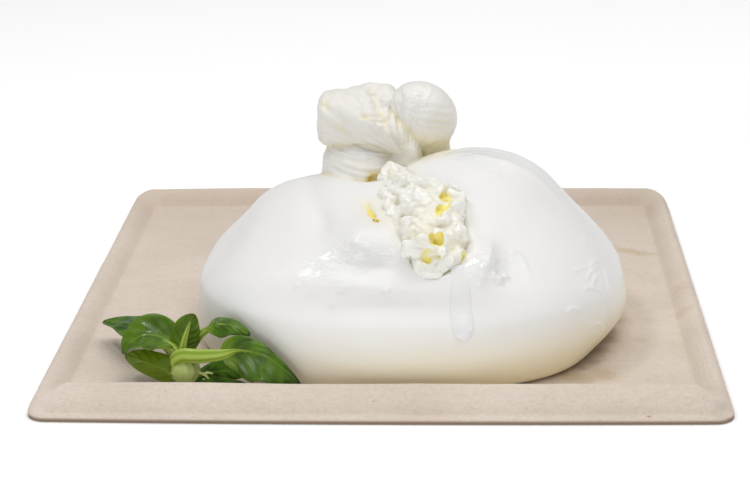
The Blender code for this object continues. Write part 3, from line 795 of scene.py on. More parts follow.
def skin_material():
    made = Shader("mozzarella", IOR=1.38, Coat_Roughness=0.08)
    wet = made.value("wet")
    # painted shade and bounce light from the tray over whey: darker and warmer towards the bottom, more so
    # on the right
    foot = made.ramp(made.axis("Z"), 0.0, FOOT_SHADE_REACH, 1.0, 0.0)
    foot = made.math('MULTIPLY', foot, made.ramp(made.axis("X"), -50.0, 20.0, 0.45, 1.0))
    milk = made.over(MILK, (made.ramp(made.noise(22.0, 2.0), 0.35, 0.65), 1.0, MILK_SHADE),
                     (made.value("knot"), 1.0, KNOT_TINT), (foot, 1.0, FOOT_WHEY_AND_SHADE),
                     # thin cream, with painted warm shade in the knot's creases and grooves and under the
                     # ball
                     (made.value("cream"), 0.8, CREAM_AND_SHADE_TINT), (made.value("butter"), 1.0, SKIN_BUTTER),
                     # painted shade deep in the hole
                     # painted sheen lightening the wet spots
                     (made.value("hole"), 0.95, HOLE_SHADE), (wet, 0.5, WET_SHEEN_TINT))
    fine = made.bump(made.noise(0.8, 2.0), 0.012)
    broken = made.math('MULTIPLY', wet, made.noise(0.9, 3.0, 0.65, stretch=(0.7, 1.0, 1.2)))
    made.set(Base_Color=milk, Roughness=made.ramp(wet, 0.0, 0.9, 0.40, 0.20),
             Coat_Weight=made.math('MULTIPLY', wet, 0.4), Normal=made.bump(broken, 0.55, Normal=fine))
    return made.material


# ======== the filling
# mass of curd down the tear: (x, y, z, half-width, half-height)
CURD_MASS = (
    (-3.4, 3, 26.8, 2.6, 3), (-3.2, -3, 29.6, 3.2, 3.2), (-2, -8, 29.6, 3.4, 3.4), (1.6, -15, 28.6, 5.4, 4),
    (6.6, -20, 27.2, 8.8, 4.2), (8.2, -26, 25, 9, 4.8), (9, -32, 22.2, 9.2, 5.2), (9.6, -38, 18.6, 9, 5.2),
    (10, -42, 16, 7.2, 4.2),
)
# main lumps of curd: (centre, radii)
CHUNKS = (
    ((-3.4, 1, 29.6), (2.6, 3, 2.4)), ((-3, -4, 30.9), (2.8, 3.2, 2.2)),
    ((-4.2, -9.5, 29.6), (1.6, 4, 1.8)), ((-1.6, -15.5, 28.8), (1.7, 4.6, 2)),
    ((2.2, -13, 31), (3.6, 4, 2.4)), ((6.4, -16.6, 31), (3.8, 3.4, 2)),
    ((11.6, -18.6, 30.6), (3.6, 2.4, 1.8)), ((14.9, -18, 30.6), (1.9, 1.7, 1.5)),
    ((-5.4, -14, 27.7), (2.2, 4.2, 1.5)), ((-3.8, -20.2, 26), (2.4, 3.8, 1.8)),
    ((-2.6, -25.8, 24.2), (2.4, 3.6, 2)), ((-0.9, -31.2, 21.8), (2.2, 3.2, 2)),
    ((2, -21, 28.2), (3.4, 3.2, 2.6)), ((5.6, -22.6, 28), (3.6, 1.8, 1.6)),
    ((5, -26.4, 26.6), (4.2, 2.2, 2)), ((2.2, -32.6, 22.8), (3.6, 3.6, 3.2)),
    ((6, -32, 23.8), (2.6, 2.8, 2.6)), ((14.8, -30, 24), (3.4, 3.6, 3)), ((16.2, -34.6, 21), (2.6, 3, 2.8)),
    ((12.4, -36.6, 20.6), (4.6, 1.9, 1.5)), ((3.9, -39, 18.2), (3.4, 3, 3)),
    ((6.4, -41.8, 15.2), (3.2, 2.6, 2.6)), ((11.4, -42.2, 15), (3.9, 2.8, 2.9)),
    ((15.4, -40.2, 17.4), (2.7, 2.7, 2.9)), ((9, -43.4, 12.8), (3.2, 2, 1.9)),
    ((17, -21, 28), (0.9, 3.6, 2.2)), ((17.8, -26.5, 25.2), (0.8, 3.6, 2.4)),
    ((9.4, -27.6, 25.6), (1.5, 2.6, 2)), ((14.8, -21.4, 28.2), (2.2, 2, 1.9)),
    ((-0.4, -24.2, 25.8), (2.2, 2.6, 2)),
)
# pockets of yellow cream between them: (centre, radii)
POCKETS = (
    ((12.3, -23.6, 30.4), (2.5, 2.2, 1.6)), ((11.3, -31, 28.8), (2.2, 3, 1.4)),
    ((9.9, -41.2, 22.8), (2.1, 1.9, 2.4)), ((8.3, -43.6, 18), (2.6, 1.9, 1.2)),
    ((18.2, -42.2, 18.4), (1.2, 2, 2)),
)
CURD_BOX = ((-14.0, -53.0, 4.0), (26.0, 9.0, 40.0))
CURD_STEP = 0.40
CURD_SEED = 11
SHREDS = 36
CURD = (0.93, 0.92, 0.87)
CURD_SHADE = (0.88, 0.86, 0.78)
CURD_CREAM = (0.82, 0.75, 0.50)
CURD_BUTTER = (0.97, 0.85, 0.18)


def make_shreds():
    """Random little lumps over the curd mass: centre, axes and radii of each."""
    random = np.random.default_rng(CURD_SEED)
    line = curve_points(CURD_MASS, 60)
    shreds = []
    for _ in range(SHREDS):
        spot = random.integers(0, len(line))
        place, half_width, half_height = line[spot, :3], line[spot, 3], line[spot, 4]
        angle = random.uniform(0.0, math.pi)
        out = np.array([half_width * math.cos(angle), -0.48 * half_height * math.sin(angle),
                        0.87 * half_height * math.sin(angle)])
        centre = place + out * random.uniform(0.85, 1.05)
        axes, _ = np.linalg.qr(random.normal(size=(3, 3)))
        size = random.uniform(1.6, 2.7)
        radii = size * np.array([random.uniform(1.0, 1.5), 1.0, random.uniform(0.6, 0.9)])
        shreds.append((centre, axes, radii))
    return shreds


def curd_core(points):
    """Field of the plain curd mass."""
    line = curve_points(CURD_MASS, 40)
    line = line[np.argsort(line[:, 1])]
    x, z, half_width, half_height = (np.interp(points[:, 1], line[:, 1], line[:, i]) for i in (0, 2, 3, 4))
    slant = np.sqrt(1.0 + np.gradient(line[:, 2], line[:, 1]) ** 2)
    up = (points[:, 2] - z) / (half_height * np.interp(points[:, 1], line[:, 1], slant))
    mass = (np.hypot((points[:, 0] - x) / half_width, up) - 1.0) * np.minimum(half_width, half_height)
    return np.maximum(mass, np.maximum(points[:, 1] - CURD_MASS[0][1], CURD_MASS[-1][1] - points[:, 1]))


def near_window(centre, reach, low, step, shape, warp):
    """Slices of the part of a grid within reach of a centre, and its points, warped."""
    first = np.maximum(((centre - reach - low) / step).astype(int), 0)
    last = np.minimum(((centre + reach - low) / step).astype(int) + 2, shape)
    axes = [low[i] + step * np.arange(first[i], last[i]) for i in range(3)]
    grid = np.stack(np.meshgrid(*axes, indexing="ij"), -1)
    return tuple(slice(first[i], last[i]) for i in range(3)), warp(grid.reshape(-1, 3)).reshape(grid.shape)


def crumple(points):
    """Points shifted by noise, so that a plain form read there comes out crumpled."""
    return points + 1.5 * shift(points, 4.2, 31) + 0.45 * shift(points, 2.0, 34)


def ragged(points):
    """Points shifted by fine noise, which makes the rims of the pockets ragged."""
    return points + 1.7 * shift(points, 2.6, 37)


def curd_grid(low, high, step):
    """Curd field sampled on a grid: the core, the main lumps and the shreds, less the pockets."""
    value = sample(lambda points: curd_core(points) + 0.5, low, high, step)
    lumps = [(centre, np.eye(3), radii, 0.8) for centre, radii in np.array(CHUNKS)]
    lumps += [(*shred, 1.3) for shred in make_shreds()]
    for centre, axes, radii, blend in lumps:
        window, place = near_window(centre, radii.max() + 2.2, low, step, value.shape, crumple)
        lump = (length(((place - centre) @ axes) / radii) - 1.0) * radii.min()
        value[window] = merge(value[window], lump, blend)
    for centre, radii in np.array(POCKETS):
        window, place = near_window(centre, radii.max() + 2.0, low, step, value.shape, ragged)
        pit = (length((place - centre) / radii) - 0.9) * radii.min()
        value[window] = carve(value[window], pit, 0.35)
    return value


def grid_normals(value, low, step, points):
    """Outward normals of a sampled field at points, from its trilinear gradient."""
    gradient = np.stack(np.gradient(value, step), -1)
    place = np.clip(((points - low) / step), 0, np.array(value.shape) - 1.001)
    cell = place.astype(int)
    total = sum(weight[:, None] * gradient[tuple((cell + corner).T)]
                for corner, weight in corner_weights(place - cell))
    return unit(total)


def make_filling(material):
    low, high = np.array(CURD_BOX)
    step = CURD_STEP
    value = curd_grid(low, high, step)
    value[[0, -1]] = value[:, [0, -1]] = value[:, :, [0, -1]] = 1.0
    points, quads = surface_net(value, low, step)
    normals = grid_normals(value, low, step, points)
    folded = crumple(points) * np.array([0.8, 1.0, 1.3])
    grain = 0.9 * ridges(folded, 3.4, 5) + 0.5 * ridges(folded, 1.7, 6) + 0.16 * noise(points, 0.9, 4) - 1.0
    bent = ragged(points)
    pocket = sum(1.4 * bell(bent, centre, 1.1 * radii) for centre, radii in np.array(POCKETS))
    pocket = np.clip(pocket, 0.0, 1.0)
    points = points + normals * (grain * (1.0 - pocket))[:, None]
    deep = smooth_step(0.6 - curd_core(points), 0.0, 2.2)
    values = {"butter": smooth_step(pocket, 0.40, 0.85), "cream": deep}
    return mesh_piece("stracciatella", points + CHEESE, quads, material, "filling", values)


def curd_material():
    made = Shader("stracciatella", Subsurface_Weight=0.12, Subsurface_Scale=0.0015,
                  Subsurface_Radius=(1.0, 0.85, 0.55), IOR=1.42, Coat_Weight=0.2, Coat_Roughness=0.2)
    curd = made.over(CURD, (made.ramp(made.noise(3.0, 4.0), 0.35, 0.65), 1.0, CURD_SHADE),
                     (made.value("cream"), 0.8, CURD_CREAM), (made.value("butter"), 1.0, CURD_BUTTER))
    made.set(Base_Color=curd, Roughness=made.ramp(made.noise(1.5, 3.0), 0.3, 0.7, 0.22, 0.45),
             Normal=made.bump(made.noise(0.6, 3.0), 0.08))
    return made.material


# ======== what lies on the skin
DRIP_LINE = (
    (15.4, -42.6, 15.2), (16.4, -45.6, 12.6), (17, -48, 10), (17.2, -51, 7), (17.4, -54, 2),
    (17.5, -55.6, -0.6),
)
# (share of the way down, half-width, thickness)
DRIP_SECTIONS = (
    (0, 1.4, 0.05), (0.25, 2.2, 0.3), (0.55, 2.9, 0.6), (0.8, 3.2, 0.9), (0.93, 3, 1.1), (1, 2.6, 1.1),
)
DRIP_ACROSS = 28
DRIP_ALONG = 70
END_STEPS = 12             # rows of the rounded end, and one more
BURIED = 0.7               # depth of the drip's underside below the skin's surface
DRIP = (0.83, 0.825, 0.82)
DRIP_SHADE = (0.81, 0.805, 0.80)


def on_skin(points, lift=0.0):
    """Points moved along their radius onto the skin's surface, lifted off it."""
    place = on_pouch(points)
    direction = place / length(place)[:, None]
    return place + direction * (skin_relief(place) + lift)[:, None]


def make_drip(material):
    """Run of cream, arched across its line and rounded at its end, its underside buried in the skin."""
    half_width, thick = profile(np.linspace(0.0, 1.0, DRIP_ALONG + 1), DRIP_SECTIONS)
    path = on_skin(curve_points(DRIP_LINE, DRIP_ALONG))
    run = unit(np.gradient(path, axis=0))
    side = unit(np.cross(run, unit(path)))
    shares = np.linspace(-1.0, 1.0, DRIP_ACROSS + 1)
    grid = sweep(path, (side, half_width[:, None] * shares))
    turns = np.linspace(0.0, math.pi / 2, END_STEPS)[1:]
    closing = [path[-1] + run[-1] * half_width[-1] * math.sin(turn)
               + np.outer(shares * half_width[-1] * math.cos(turn), side[-1]) for turn in turns]
    grid = np.concatenate([grid, closing])
    thick = np.concatenate([thick, thick[-1] * np.sqrt(np.cos(turns))])
    flat = grid.reshape(-1, 3)
    top = on_skin(flat, 0.04 + (thick[:, None] * np.sqrt(1.0 - shares ** 2)).ravel())
    points = np.vstack([top, on_skin(flat, -BURIED)])
    faces = shell_faces(*grid.shape[:2])
    return mesh_piece("cream_drip", points + CHEESE, faces, material)


def drip_material():
    made = Shader("cream", Roughness=0.22, IOR=1.4, Coat_Weight=0.3, Coat_Roughness=0.1)
    made.set(Base_Color=made.over(DRIP, (made.ramp(made.noise(4.0, 2.0), 0.3, 0.7), 1.0, DRIP_SHADE)),
             Normal=made.bump(made.noise(2.5, 2.0), 0.05))
    return made.material


# ======== the tray
_, tray_high = box_mm("tray")
TRAY_HALF = tray_high[0]
TRAY_BOW = tray_high[1] - tray_high[0]
TRAY_CORNER = 6.0
TRAY_CORNER_LOSS = 0.45
TRAY_LIP_SHEET = 1.6
TRAY_FLOOR = 2.0
TRAY_EDGE_SHARE = 0.05     # the sheet's outer edge is eased over this share of the rim
TRAY_EDGE_LOSS = 0.45
# each side's rim, anticlockwise from the right: (width from the edge to the well, bead's rise over the lip)
TRAY_RIMS = ((9.2, 4.2), (9, 5.6), (9.2, 4.2), (12.6, 6.4))
BACK = 1
FRONT = 3
# (share of the way to the well, share of the rise at the front, the same elsewhere)
BEAD_PROFILE = (
    (0, 0, 0), (0.1, 0, 0.42), (0.2, 0, 0.78), (0.28, 0.3, 0.94), (0.36, 0.52, 1), (0.48, 0.74, 0.94),
    (0.62, 0.92, 0.77), (0.76, 1, 0.52), (0.87, 0.72, 0.27), (0.95, 0.3, 0.09), (1, 0, 0),
)
TRAY_NOISE = ((0.16, 32.0, 21), (0.05, 7.0, 22), (0.03, 2.4, 23))     # (height, size, seed)
RIM_STEPS = 34
CORNER_STEPS = 12
SIDE_STEPS = 60
WELL_STEPS = 44
# the dented front right corner: (centre, spread, depth)
DENTS = (((97.5, -97.5, 3), (2.6, 2.4, 3), 1.1), ((93, -95.5, 5), (2, 1.6, 2), 0.66))


def tray_plan(share, shrink=1.0):
    """Ring at a share of the way across the rims: its plan, the bead's rise and how much it is the front."""
    corner = TRAY_CORNER * (1.0 - TRAY_CORNER_LOSS * share) * shrink
    reach = [(TRAY_HALF - share * width) * shrink for width, rise in TRAY_RIMS]
    sides = [np.array([TRAY_RIMS[side][1], side == FRONT], float) for side in range(4)]
    places = []
    facts = []
    for side in range(4):
        after = (side + 1) % 4
        turn = math.radians(90.0 * side)
        outward = np.array([round(math.cos(turn)), round(math.sin(turn))], float)
        onward = np.array([-outward[1], outward[0]])
        centre = outward * (reach[side] - corner) + onward * (reach[after] - corner)
        angle = np.linspace(0.0, math.pi / 2.0, CORNER_STEPS + 1)[:, None]
        places.append(centre + (outward * np.cos(angle) + onward * np.sin(angle)) * corner)
        blend = np.sin(angle) ** 2
        facts.append(sides[side] * (1.0 - blend) + sides[after] * blend)
        last = -(reach[(side + 2) % 4] - corner)
        first = reach[side] - corner
        along = (np.arange(1, SIDE_STEPS + 1) / (SIDE_STEPS + 1))[:, None]
        bow = TRAY_BOW * 4.0 * along * (1.0 - along) * (after in (BACK, FRONT)) * shrink
        places.append(onward * (reach[after] + bow) + outward * (first + (last - first) * along))
        facts.append(np.tile(sides[after], (SIDE_STEPS, 1)))
    return np.vstack(places), *np.vstack(facts).T


def tray_ring(share, level):
    """Ring of points at a share of the way across the rims, level over the sheet's underside."""
    plan, rise, front = tray_plan(share)
    front_share, other_share = profile([share], BEAD_PROFILE)
    height = rise * (front_share * front + other_share * (1.0 - front))
    return np.column_stack([plan, level + height])


def tray_relief(points):
    """Unevenness of the pressed fibre, with a dented corner."""
    lift = uneven(points, TRAY_NOISE)
    rim = smooth_step(np.abs(points[:, :2]).max(1), 86.0, 92.0)
    lift += 0.12 * rim * noise(points, 9.0, 24)
    return lift - sum(depth * bell(points, centre, spread) for centre, spread, depth in DENTS)


def make_tray(material):
    lower = [tray_ring(share, 0.0) for share in np.linspace(0.0, 1.0, RIM_STEPS + 1)]
    upper = []
    for share in np.linspace(0.0, 1.0, RIM_STEPS + 1):
        eased = TRAY_EDGE_LOSS * (1.0 - min(share / TRAY_EDGE_SHARE, 1.0)) ** 2
        upper.append(tray_ring(share, TRAY_LIP_SHEET + (TRAY_FLOOR - TRAY_LIP_SHEET) * share - eased))
    for step in range(1, WELL_STEPS + 1):
        plan, _, _ = tray_plan(1.0, (1.0 - step / (WELL_STEPS + 1.0)) ** 0.9)
        upper.append(np.column_stack([plan, np.full(len(plan), TRAY_FLOOR)]))
    rings = lower[::-1] + upper
    points = np.vstack(rings + [[0.0, 0.0, 0.0], [0.0, 0.0, TRAY_FLOOR]])
    lift = tray_relief(points) * (points[:, 2] > 0.5)
    inner = (np.abs(points[:, :2]) < TRAY_HALF - 0.6).all(1)
    points[:, 2] += np.where(inner, lift, 0.4 * lift)
    faces = tube_faces(len(rings), len(rings[0]))
    return mesh_piece("pulp_tray", points, faces, material, "tray")


# whey stains, and painted contact shadow beside the cheese's right foot: (place, spread, share, colour)
STAINS_AND_SHADOW = (
    ((85, 39, 2), 2.6, 0.5, (0.5, 0.38, 0.18)), ((80.5, 41.5, 2), 2.6, 0.45, (0.5, 0.38, 0.18)),
    ((76, 44.5, 2), 2.6, 0.45, (0.5, 0.38, 0.18)), ((89, 38, 2), 1.8, 0.35, (0.52, 0.4, 0.22)),
    ((94.9, -3.2, 4), 3.4, 0.3, (0.58, 0.43, 0.26)), ((93.4, -23.1, 4), 3, 0.35, (0.58, 0.43, 0.26)),
    ((65.4, -69.4, 2), 5, 0.45, (0.52, 0.36, 0.17)), ((56, -72, 2), 5, 0.5, (0.52, 0.36, 0.17)),
    # the seven dark spots from (72, -26) to (52, -66.5) are painted contact shadow along the cheese's right
    # foot
    ((72, -26, 2), 3.2, 0.35, (0.34, 0.25, 0.15)), ((69, -36, 2), 3.8, 0.5, (0.26, 0.18, 0.1)),
    ((66.4, -43, 2), 3.8, 0.55, (0.2, 0.13, 0.07)), ((64, -50, 2), 4, 0.6, (0.18, 0.12, 0.06)),
    ((61, -56.5, 2), 4.2, 0.6, (0.18, 0.12, 0.06)), ((57, -62.5, 2), 4, 0.55, (0.24, 0.16, 0.08)),
    ((52, -66.5, 2), 3.6, 0.45, (0.32, 0.22, 0.12)), ((78, -41.9, 2), 1.8, 0.25, (0.52, 0.38, 0.22)),
    ((75.7, -98.6, 1.6), 0.6, 0.8, (0.25, 0.15, 0.08)), ((96, -97.6, 4), 2.4, 0.45, (0.42, 0.38, 0.34)),
    ((84, 86, 2), 12, 0.25, (0.5, 0.4, 0.3)),
)
PULP = (0.745, 0.65, 0.565)
PULP_SHADE = (0.69, 0.595, 0.505)
FIBRE = (0.50, 0.40, 0.32)
FLECK = (0.30, 0.21, 0.14)
# painted shadow along the underside of the tray's edge
UNDER_EDGE_SHADOW = (0.24, 0.165, 0.11)
# painted shade: the pulp darker towards the back of the tray
FAR_SIDE_SHADE = (0.56, 0.46, 0.37)


def tray_material():
    made = Shader("moulded_pulp", Roughness=0.8, Specular_IOR_Level=0.3)
    fibre = made.noise(1.3, 5.0, 0.7, stretch=(0.6, 1.0, 1.0), distortion=1.5)
    pulp = made.over(PULP, (made.ramp(made.noise(26.0, 5.0), 0.3, 0.7), 1.0, PULP_SHADE),
                     (made.ramp(fibre, 0.4, 0.7), 0.35, FIBRE),
                     (made.ramp(made.noise(0.9, 2.0), 0.72, 0.80), 0.5, FLECK),
                     # painted shadow: darker towards the tray's underside
                     (made.ramp(made.axis("Z"), 0.5, 1.4, 0.95, 0.0), 1.0, UNDER_EDGE_SHADOW),
                     # painted shade towards the back of the tray
                     (made.ramp(made.axis("Y"), 20.0, 100.0, 0.0, 0.45), 1.0, FAR_SIDE_SHADE))
    # whey stains, and painted contact shadow beside the cheese
    for place, spread, share, colour in STAINS_AND_SHADOW:
        distance = made.node("VectorMath", {0: made.place(), 1: place}, operation='DISTANCE')["Value"]
        frayed = made.ramp(made.noise(spread, 4.0), 0.2, 0.8, -0.35 * spread, 0.35 * spread)
        stain_or_shadow = made.ramp(made.math('ADD', distance, frayed), 0.1 * spread, 1.7 * spread, share, 0.0)
        pulp = made.over(pulp, (stain_or_shadow, 1.0, colour))
    grain = made.bump(made.noise(0.7, 4.0, 0.65), 0.10)
    made.set(Base_Color=pulp, Normal=made.bump(made.noise(2.4, 4.0, distortion=1.0), 0.10, Normal=grain))
    return made.material


# ======== the sprig
sprig_low, _ = box_mm("sprig")
SPRIG = sprig_low + np.array([31.7, 8.8, 4.0])     # the root from which the leaves and stalks are measured
LEAF_THICKNESS = 0.45
LEAF_ACROSS = 26
LEAF_ALONG = 44
RIB_DEPTH = 0.10
# leaves: (half-width, lower half's share of it, cup, direction in which the upper half opens, wave of
# the margin, share of yellow, share by which the upper half narrows towards the tip, midrib)
LEAVES = (
    (6.6, 1, 1, (0.5, 0.85, 0.1), 0.5, 0, 0, ((-9, 14, 3.4), (-15, 21, 4.4), (-22, 29, 4),
      (-31, 37.4, 1.6))),
    (6.8, 1, 1.8, (0.05, 0.88, 0.45), 0.15, 0.2, 0, ((-4.3, 4.5, 6.4), (-8, 6, 8.6), (-13, 6.5, 9.2),
      (-17, 6, 7.2), (-19.6, 5, 4))),
    (4.4, 0.8, -0.8, (0.3, 0.5, 0.8), 0.2, 0.8, 0, ((-3, 0.5, -1.6), (-6, 1, 0.2), (-10.5, 1.6, 2),
      (-15, 2.4, 3.4), (-18.8, 3, 4.2))),
    (4.4, 1, -1.4, (1, -0.15, -0.1), 0.4, 0.35, 0, ((-1.6, 4, 5), (-1.4, 4.6, 8.6), (-0.2, 5.2, 12.6),
      (1.8, 5.6, 16.4))),
    (3.2, 1.1, 1.2, (0.1, 0.8, 0.6), 0.4, 0.1, 0, ((6, 2, 13.2), (9, 1.6, 14.6), (13.5, 1, 14.7),
      (18.6, -0.2, 12.2))),
    (5, 1.7, 1.2, (-0.2, 0.35, 0.92), 0.5, 0.12, 0.62, ((10.4, -4.6, 7.8), (15.5, -5.4, 9.5),
      (22.5, -6.4, 8.8), (28, -7.2, 5.4), (33.4, -7.8, 0.2))),
    (2.4, 1, 0.5, (0, 0.35, 0.9), 0.3, 0, 0, ((-1, -3, -1.6), (5, -5, -1.2), (11, -6, -0.8),
      (17.7, -6, -0.6))),
    (3.4, 1, 0.6, (0, 0.6, 0.8), 0.4, 0, 0, ((2, 1.5, -1.6), (7, 0.6, 0.2), (12, -0.6, 1.2),
      (17, -2, 0.4))),
)
# stalks: (radii, line); each runs on as its leaf's midrib
STALKS = (
    ((1.6, 2, 2.1, 2, 1.5, 0.5, 0.2), ((-2.2, -0.2, 1.2), (-3, -0.9, 4.4), (-0.6, -2, 6.5), (4, -3.2, 6.9),
      (10.7, -4.5, 7.9), (15.5, -5.5, 9.5), (20, -6.2, 9.3))),
    ((1.2, 1.2, 1.1, 0.9, 0.6, 0.25), ((-0.5, 6.5, 3.4), (1.2, 7.4, 6.4), (3.6, 6.4, 9.8), (6.6, 4, 12.6),
      (9.5, 1.8, 14.4), (12, 1.2, 14.6))),
    ((1.4, 1.3, 1, 0.6, 0.25), ((-1.4, 2, 1.5), (-1.8, 3, 5), (-1.2, 3.9, 8.6), (0, 4.7, 12.4),
      (0.8, 5.1, 14.4))),
    ((1.4, 1.3, 0.8, 0.25), ((-1.2, 1.8, 1.5), (-3, 3.4, 4.6), (-5, 4.8, 6.9), (-9, 5.9, 8.7))),
    ((1.3, 1.1, 0.8, 0.25), ((-0.6, 1.8, 0), (-5, 8, 1.6), (-9.6, 14.6, 3.4), (-14, 20, 4.2))),
    ((1.4, 0.9, 0.3), ((-0.8, 0.4, -0.8), (-3.4, 0.6, -1.4), (-7, 1.1, 0.4))),
    ((1.3, 0.9, 0.3), ((0, -1, -0.6), (3, -3.4, -1.4), (8, -5.4, -1))),
    ((1.3, 0.9, 0.3), ((0, 0.6, -0.4), (2.6, 1.3, -1.2), (7, 0.6, 0.1))),
)
# cut foot of the sprig, with its ribs and share of white, and the bits of root beside it
BULB = (
    (0.6, 3.3, 4.3, 3.8, 2),
    ((-1.2, -4.6, -0.6), (-0.8, -3.4, 0), (-0.4, -1.4, 0.8), (-0.2, 1, 1.4), (0.2, 3, 1.8)), 9, 0.5,
)
ROOTLETS = (
    ((3.2, -2.6, 1.6), (5.4, -4, 1.4), (7, -4.8, 0)),
    ((3.4, -2.8, 0.2), (5.6, -4.4, -0.2), (8.6, -5, -1.6)),
    ((5, -3.8, 1.3), (6.4, -4.4, 2.2), (8, -4.8, 2)),
    ((2.8, -3.2, -0.8), (4.6, -4.8, -1.4), (6.6, -5.4, -2.4)),
)
ROOTLET_RADII = (0.45, 0.4, 0.2)
ROOTLET_RIBS = 4
ROOTLET_WHITE = 0.9
GREEN = (0.072, 0.165, 0.006)
DEEP_GREEN = (0.024, 0.072, 0.003)
YELLOW_GREEN = (0.15, 0.22, 0.006)
VEIN_GREEN = (0.22, 0.36, 0.035)
STALK_GREEN = (0.19, 0.29, 0.016)
RIB_GREEN = (0.42, 0.54, 0.10)
ROOT_WHITE = (0.62, 0.68, 0.30)


def leaf(half_width, lower, cup, side, wave, tone, fold, midrib, seed):
    """Blade along a midrib, with a sunken midrib, faint side veins, wavy margins and a pointed tip.

    Returns its points, its faces and four values for each point: vein, pale, tone and white.
    """
    path = curve_points(midrib, LEAF_ALONG)
    run = unit(np.gradient(path, axis=0))
    side = np.array(side, float)
    across = unit(side - run * (run @ side)[:, None])
    normal = np.cross(run, across)
    t = np.linspace(0.0, 1.0, LEAF_ALONG + 1)
    outline = np.sin(math.pi * t ** 0.8) ** 0.62
    outline[-1] = 0.0
    s, a = np.meshgrid(t, np.linspace(-1.0, 1.0, LEAF_ACROSS + 1), indexing="ij")
    aside = np.abs(a)
    margin = 1.0 + 0.035 * np.sin(11.0 * s + 2.6 * np.sign(a) + seed)
    width = half_width * np.maximum(outline, 0.10 * (1.0 - t))[:, None] * margin
    width = width * np.where(a < 0.0, lower, 1.0 - fold * smooth_step(s, 0.2, 0.65))
    vein_place = s * 5.0 - aside * 1.9 * (1.1 - 0.4 * s) + 0.15 * np.sin(5.0 * s + 3.0 * a + seed)
    veins = np.exp(-((vein_place - np.round(vein_place)) / 0.07) ** 2) * smooth_step(aside, 0.02, 0.2)
    midvein = np.exp(-(a / 0.05) ** 2)
    quilt = np.cos(2.0 * math.pi * vein_place) * (1.0 - aside) * aside * 4.0
    size = half_width / 7.0
    lift = -cup * a ** 2 * outline[:, None] + size * (0.26 * quilt - 0.40 * midvein)
    lift += wave * aside ** 3 * np.sin(8.0 * s + 2.0 * np.sign(a) + seed)
    grid = sweep(path, (across, width * a), (normal, lift))
    grid += 0.22 * size * (normal[:, None] * noise(grid, 3.0, seed)[..., None])
    half = normal[:, None] * LEAF_THICKNESS / 2.0
    vein = np.clip(0.35 * veins * (1.0 - 0.7 * aside) + midvein, 0.0, 1.0)
    vein += 0.5 * smooth_step(aside, 0.9, 1.0)
    pale = 0.7 * np.clip(1.0 - s * 4.0, 0.0, 1.0)
    values = np.column_stack([vein.ravel(), pale.ravel(), np.full(s.size, tone), np.zeros(s.size)])
    return (np.concatenate([grid + half, grid - half]).reshape(-1, 3), shell_faces(*s.shape),
            np.vstack([values, values]))


def stalk(radii, line, ribs=5, white=0.0, sides=20, steps=36):
    """Ribbed stalk along a line, its radii spread evenly from end to end; returned as leaf does."""
    path = curve_points(line, steps)
    run = unit(np.gradient(path, axis=0))
    side = unit(np.cross(run, np.array([0.3, 1.0, 0.2])))
    up = np.cross(run, side)
    radius = curve_points(np.array(radii)[:, None], steps)[:, 0]
    angles = np.linspace(0.0, 2.0 * math.pi, sides, endpoint=False)
    crest = np.cos(ribs * angles)
    reach = radius[:, None] * (1.0 + RIB_DEPTH * crest)
    grid = sweep(path, (side, reach * np.cos(angles)), (up, reach * np.sin(angles)))
    points = np.vstack([grid.reshape(-1, 3), path[0], path[-1]])
    fade = 0.35 + 0.65 * np.repeat(smooth_step(radius / max(radii), 0.05, 0.6), sides)
    nothing = np.zeros(len(fade))
    values = np.column_stack([np.tile(0.5 + 0.5 * crest, steps + 1), fade, nothing, nothing + white])
    tips = ((0.0, 1.0, 0.0, white), (0.0, 0.48, 0.0, white))
    return points, tube_faces(steps + 1, sides), np.vstack([values, tips])


def make_sprig(material):
    parts = [leaf(*facts, seed) for seed, facts in enumerate(LEAVES)]
    parts += [stalk(*facts) for facts in STALKS + (BULB,)]
    parts += [stalk(ROOTLET_RADII, line, ROOTLET_RIBS, ROOTLET_WHITE) for line in ROOTLETS]
    points, faces, values = zip(*parts)
    starts = np.cumsum([0] + [len(part) for part in points])
    faces = np.vstack([part + start for part, start in zip(faces, starts)])
    values = dict(zip(("vein", "pale", "tone", "white"), np.vstack(values).T))
    points = np.vstack(points) + SPRIG
    return mesh_piece("salad_sprig", points, faces, material, "sprig", values)


def leaf_material():
    made = Shader("salad_leaf", Roughness=0.40, IOR=1.4, Specular_IOR_Level=0.28, Coat_Roughness=0.16)
    vein = made.value("vein")
    stem = made.over(STALK_GREEN, (vein, 1.0, RIB_GREEN))
    green = made.over(GREEN, (made.ramp(made.noise(6.0, 4.0), 0.38, 0.62), 1.0, DEEP_GREEN),
                      (made.value("tone"), 1.0, YELLOW_GREEN), (vein, 0.55, VEIN_GREEN),
                      (made.value("pale"), 1.0, stem), (made.value("white"), 1.0, ROOT_WHITE))
    made.set(Base_Color=green, Coat_Weight=made.ramp(made.noise(7.0, 2.0), 0.48, 0.62, 0.0, 0.5),
             Normal=made.bump(made.noise(0.8, 3.0), 0.10))
    return made.material


# ======== stage, camera and lights
CAMERA_PLACE = (23.8, -599.9, 224.7)
# degrees: turn, pitch, roll
CAMERA_TURNS = ((2.72, 'Z'), (90.0 - 19.11, 'X'), (-0.89, 'Z'))
SENSOR = 36.0
IMAGE_WIDTH = 750.0
FOCAL_PIXELS = 1950.6
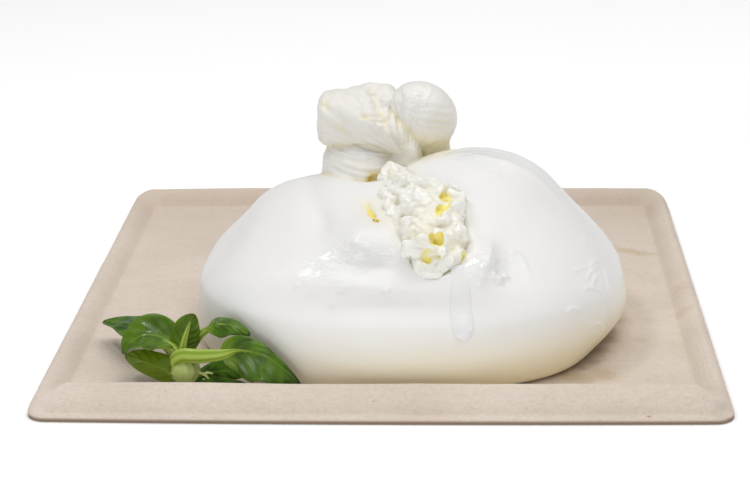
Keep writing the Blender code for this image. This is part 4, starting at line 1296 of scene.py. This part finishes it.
# (name, place and aim in metres, size, power)
LIGHTS = (("overhead", (0.25, 0.10, 1.20), (0.0, 0.0, 0.0), 1.0, 7.0),
          ("key", (-0.42, -0.03, 0.93), (0.0, 0.0, 0.03), 0.17, 1.7),
          ("front", (0.3, -1.5, 0.42), (0.0, 0.0, 0.02), 0.9, 2.0),
          ("low", (-0.4, -1.5, 0.16), (0.0, 0.0, 0.02), 0.5, 3.0))
WORLD_STRENGTH = 0.42
FLOOR_HALF = 3.0           # metres
FLOOR_DROP = 0.0002        # metres between the tray and the ground


def make_camera():
    data = bpy.data.cameras.new("camera")
    data.sensor_width = SENSOR
    data.lens = FOCAL_PIXELS / IMAGE_WIDTH * SENSOR
    camera = add_object("camera", data)
    place = Matrix.Translation(Vector(CAMERA_PLACE) * MM)
    turn, pitch, roll = (Matrix.Rotation(math.radians(angle), 4, axis) for angle, axis in CAMERA_TURNS)
    camera.matrix_world = place @ turn @ pitch @ roll
    bpy.context.scene.camera = camera


def make_lights():
    for name, place, aim, size, power in LIGHTS:
        data = bpy.data.lights.new(name, 'AREA')
        data.size = size
        data.energy = power
        light = add_object(name, data)
        light.location = place
        light.rotation_mode = 'QUATERNION'
        light.rotation_quaternion = (Vector(aim) - Vector(place)).to_track_quat('-Z', 'Y')
    world = bpy.data.worlds.new("studio")
    world.use_nodes = True
    background = world.node_tree.nodes["Background"]
    background.inputs["Color"].default_value = (1.0, 1.0, 1.0, 1.0)
    background.inputs["Strength"].default_value = WORLD_STRENGTH
    bpy.context.scene.world = world
    bpy.context.scene.view_settings.view_transform = 'Standard'


def make_floor():
    """White ground a hair under the tray, far wider than the view."""
    mesh = bpy.data.meshes.new("floor")
    half = FLOOR_HALF
    mesh.from_pydata([(-half, -half, 0.0), (half, -half, 0.0), (half, half, 0.0), (-half, half, 0.0)], [],
                     [(0, 1, 2, 3)])
    made = Shader("floor", Roughness=0.9, Emission_Color=(1.0, 1.0, 1.0, 1.0), Emission_Strength=0.15)
    made.set(Base_Color=made.over((0.93, 0.93, 0.93), (made.noise(60.0, 2.0), 1.0, (0.95, 0.95, 0.95))))
    mesh.materials.append(made.material)
    floor = add_object("floor", mesh)
    floor.location.z = -FLOOR_DROP


make_tray(tray_material())
make_skin(skin_material())
make_filling(curd_material())
make_drip(drip_material())
make_sprig(leaf_material())
make_floor()
make_camera()
make_lights()
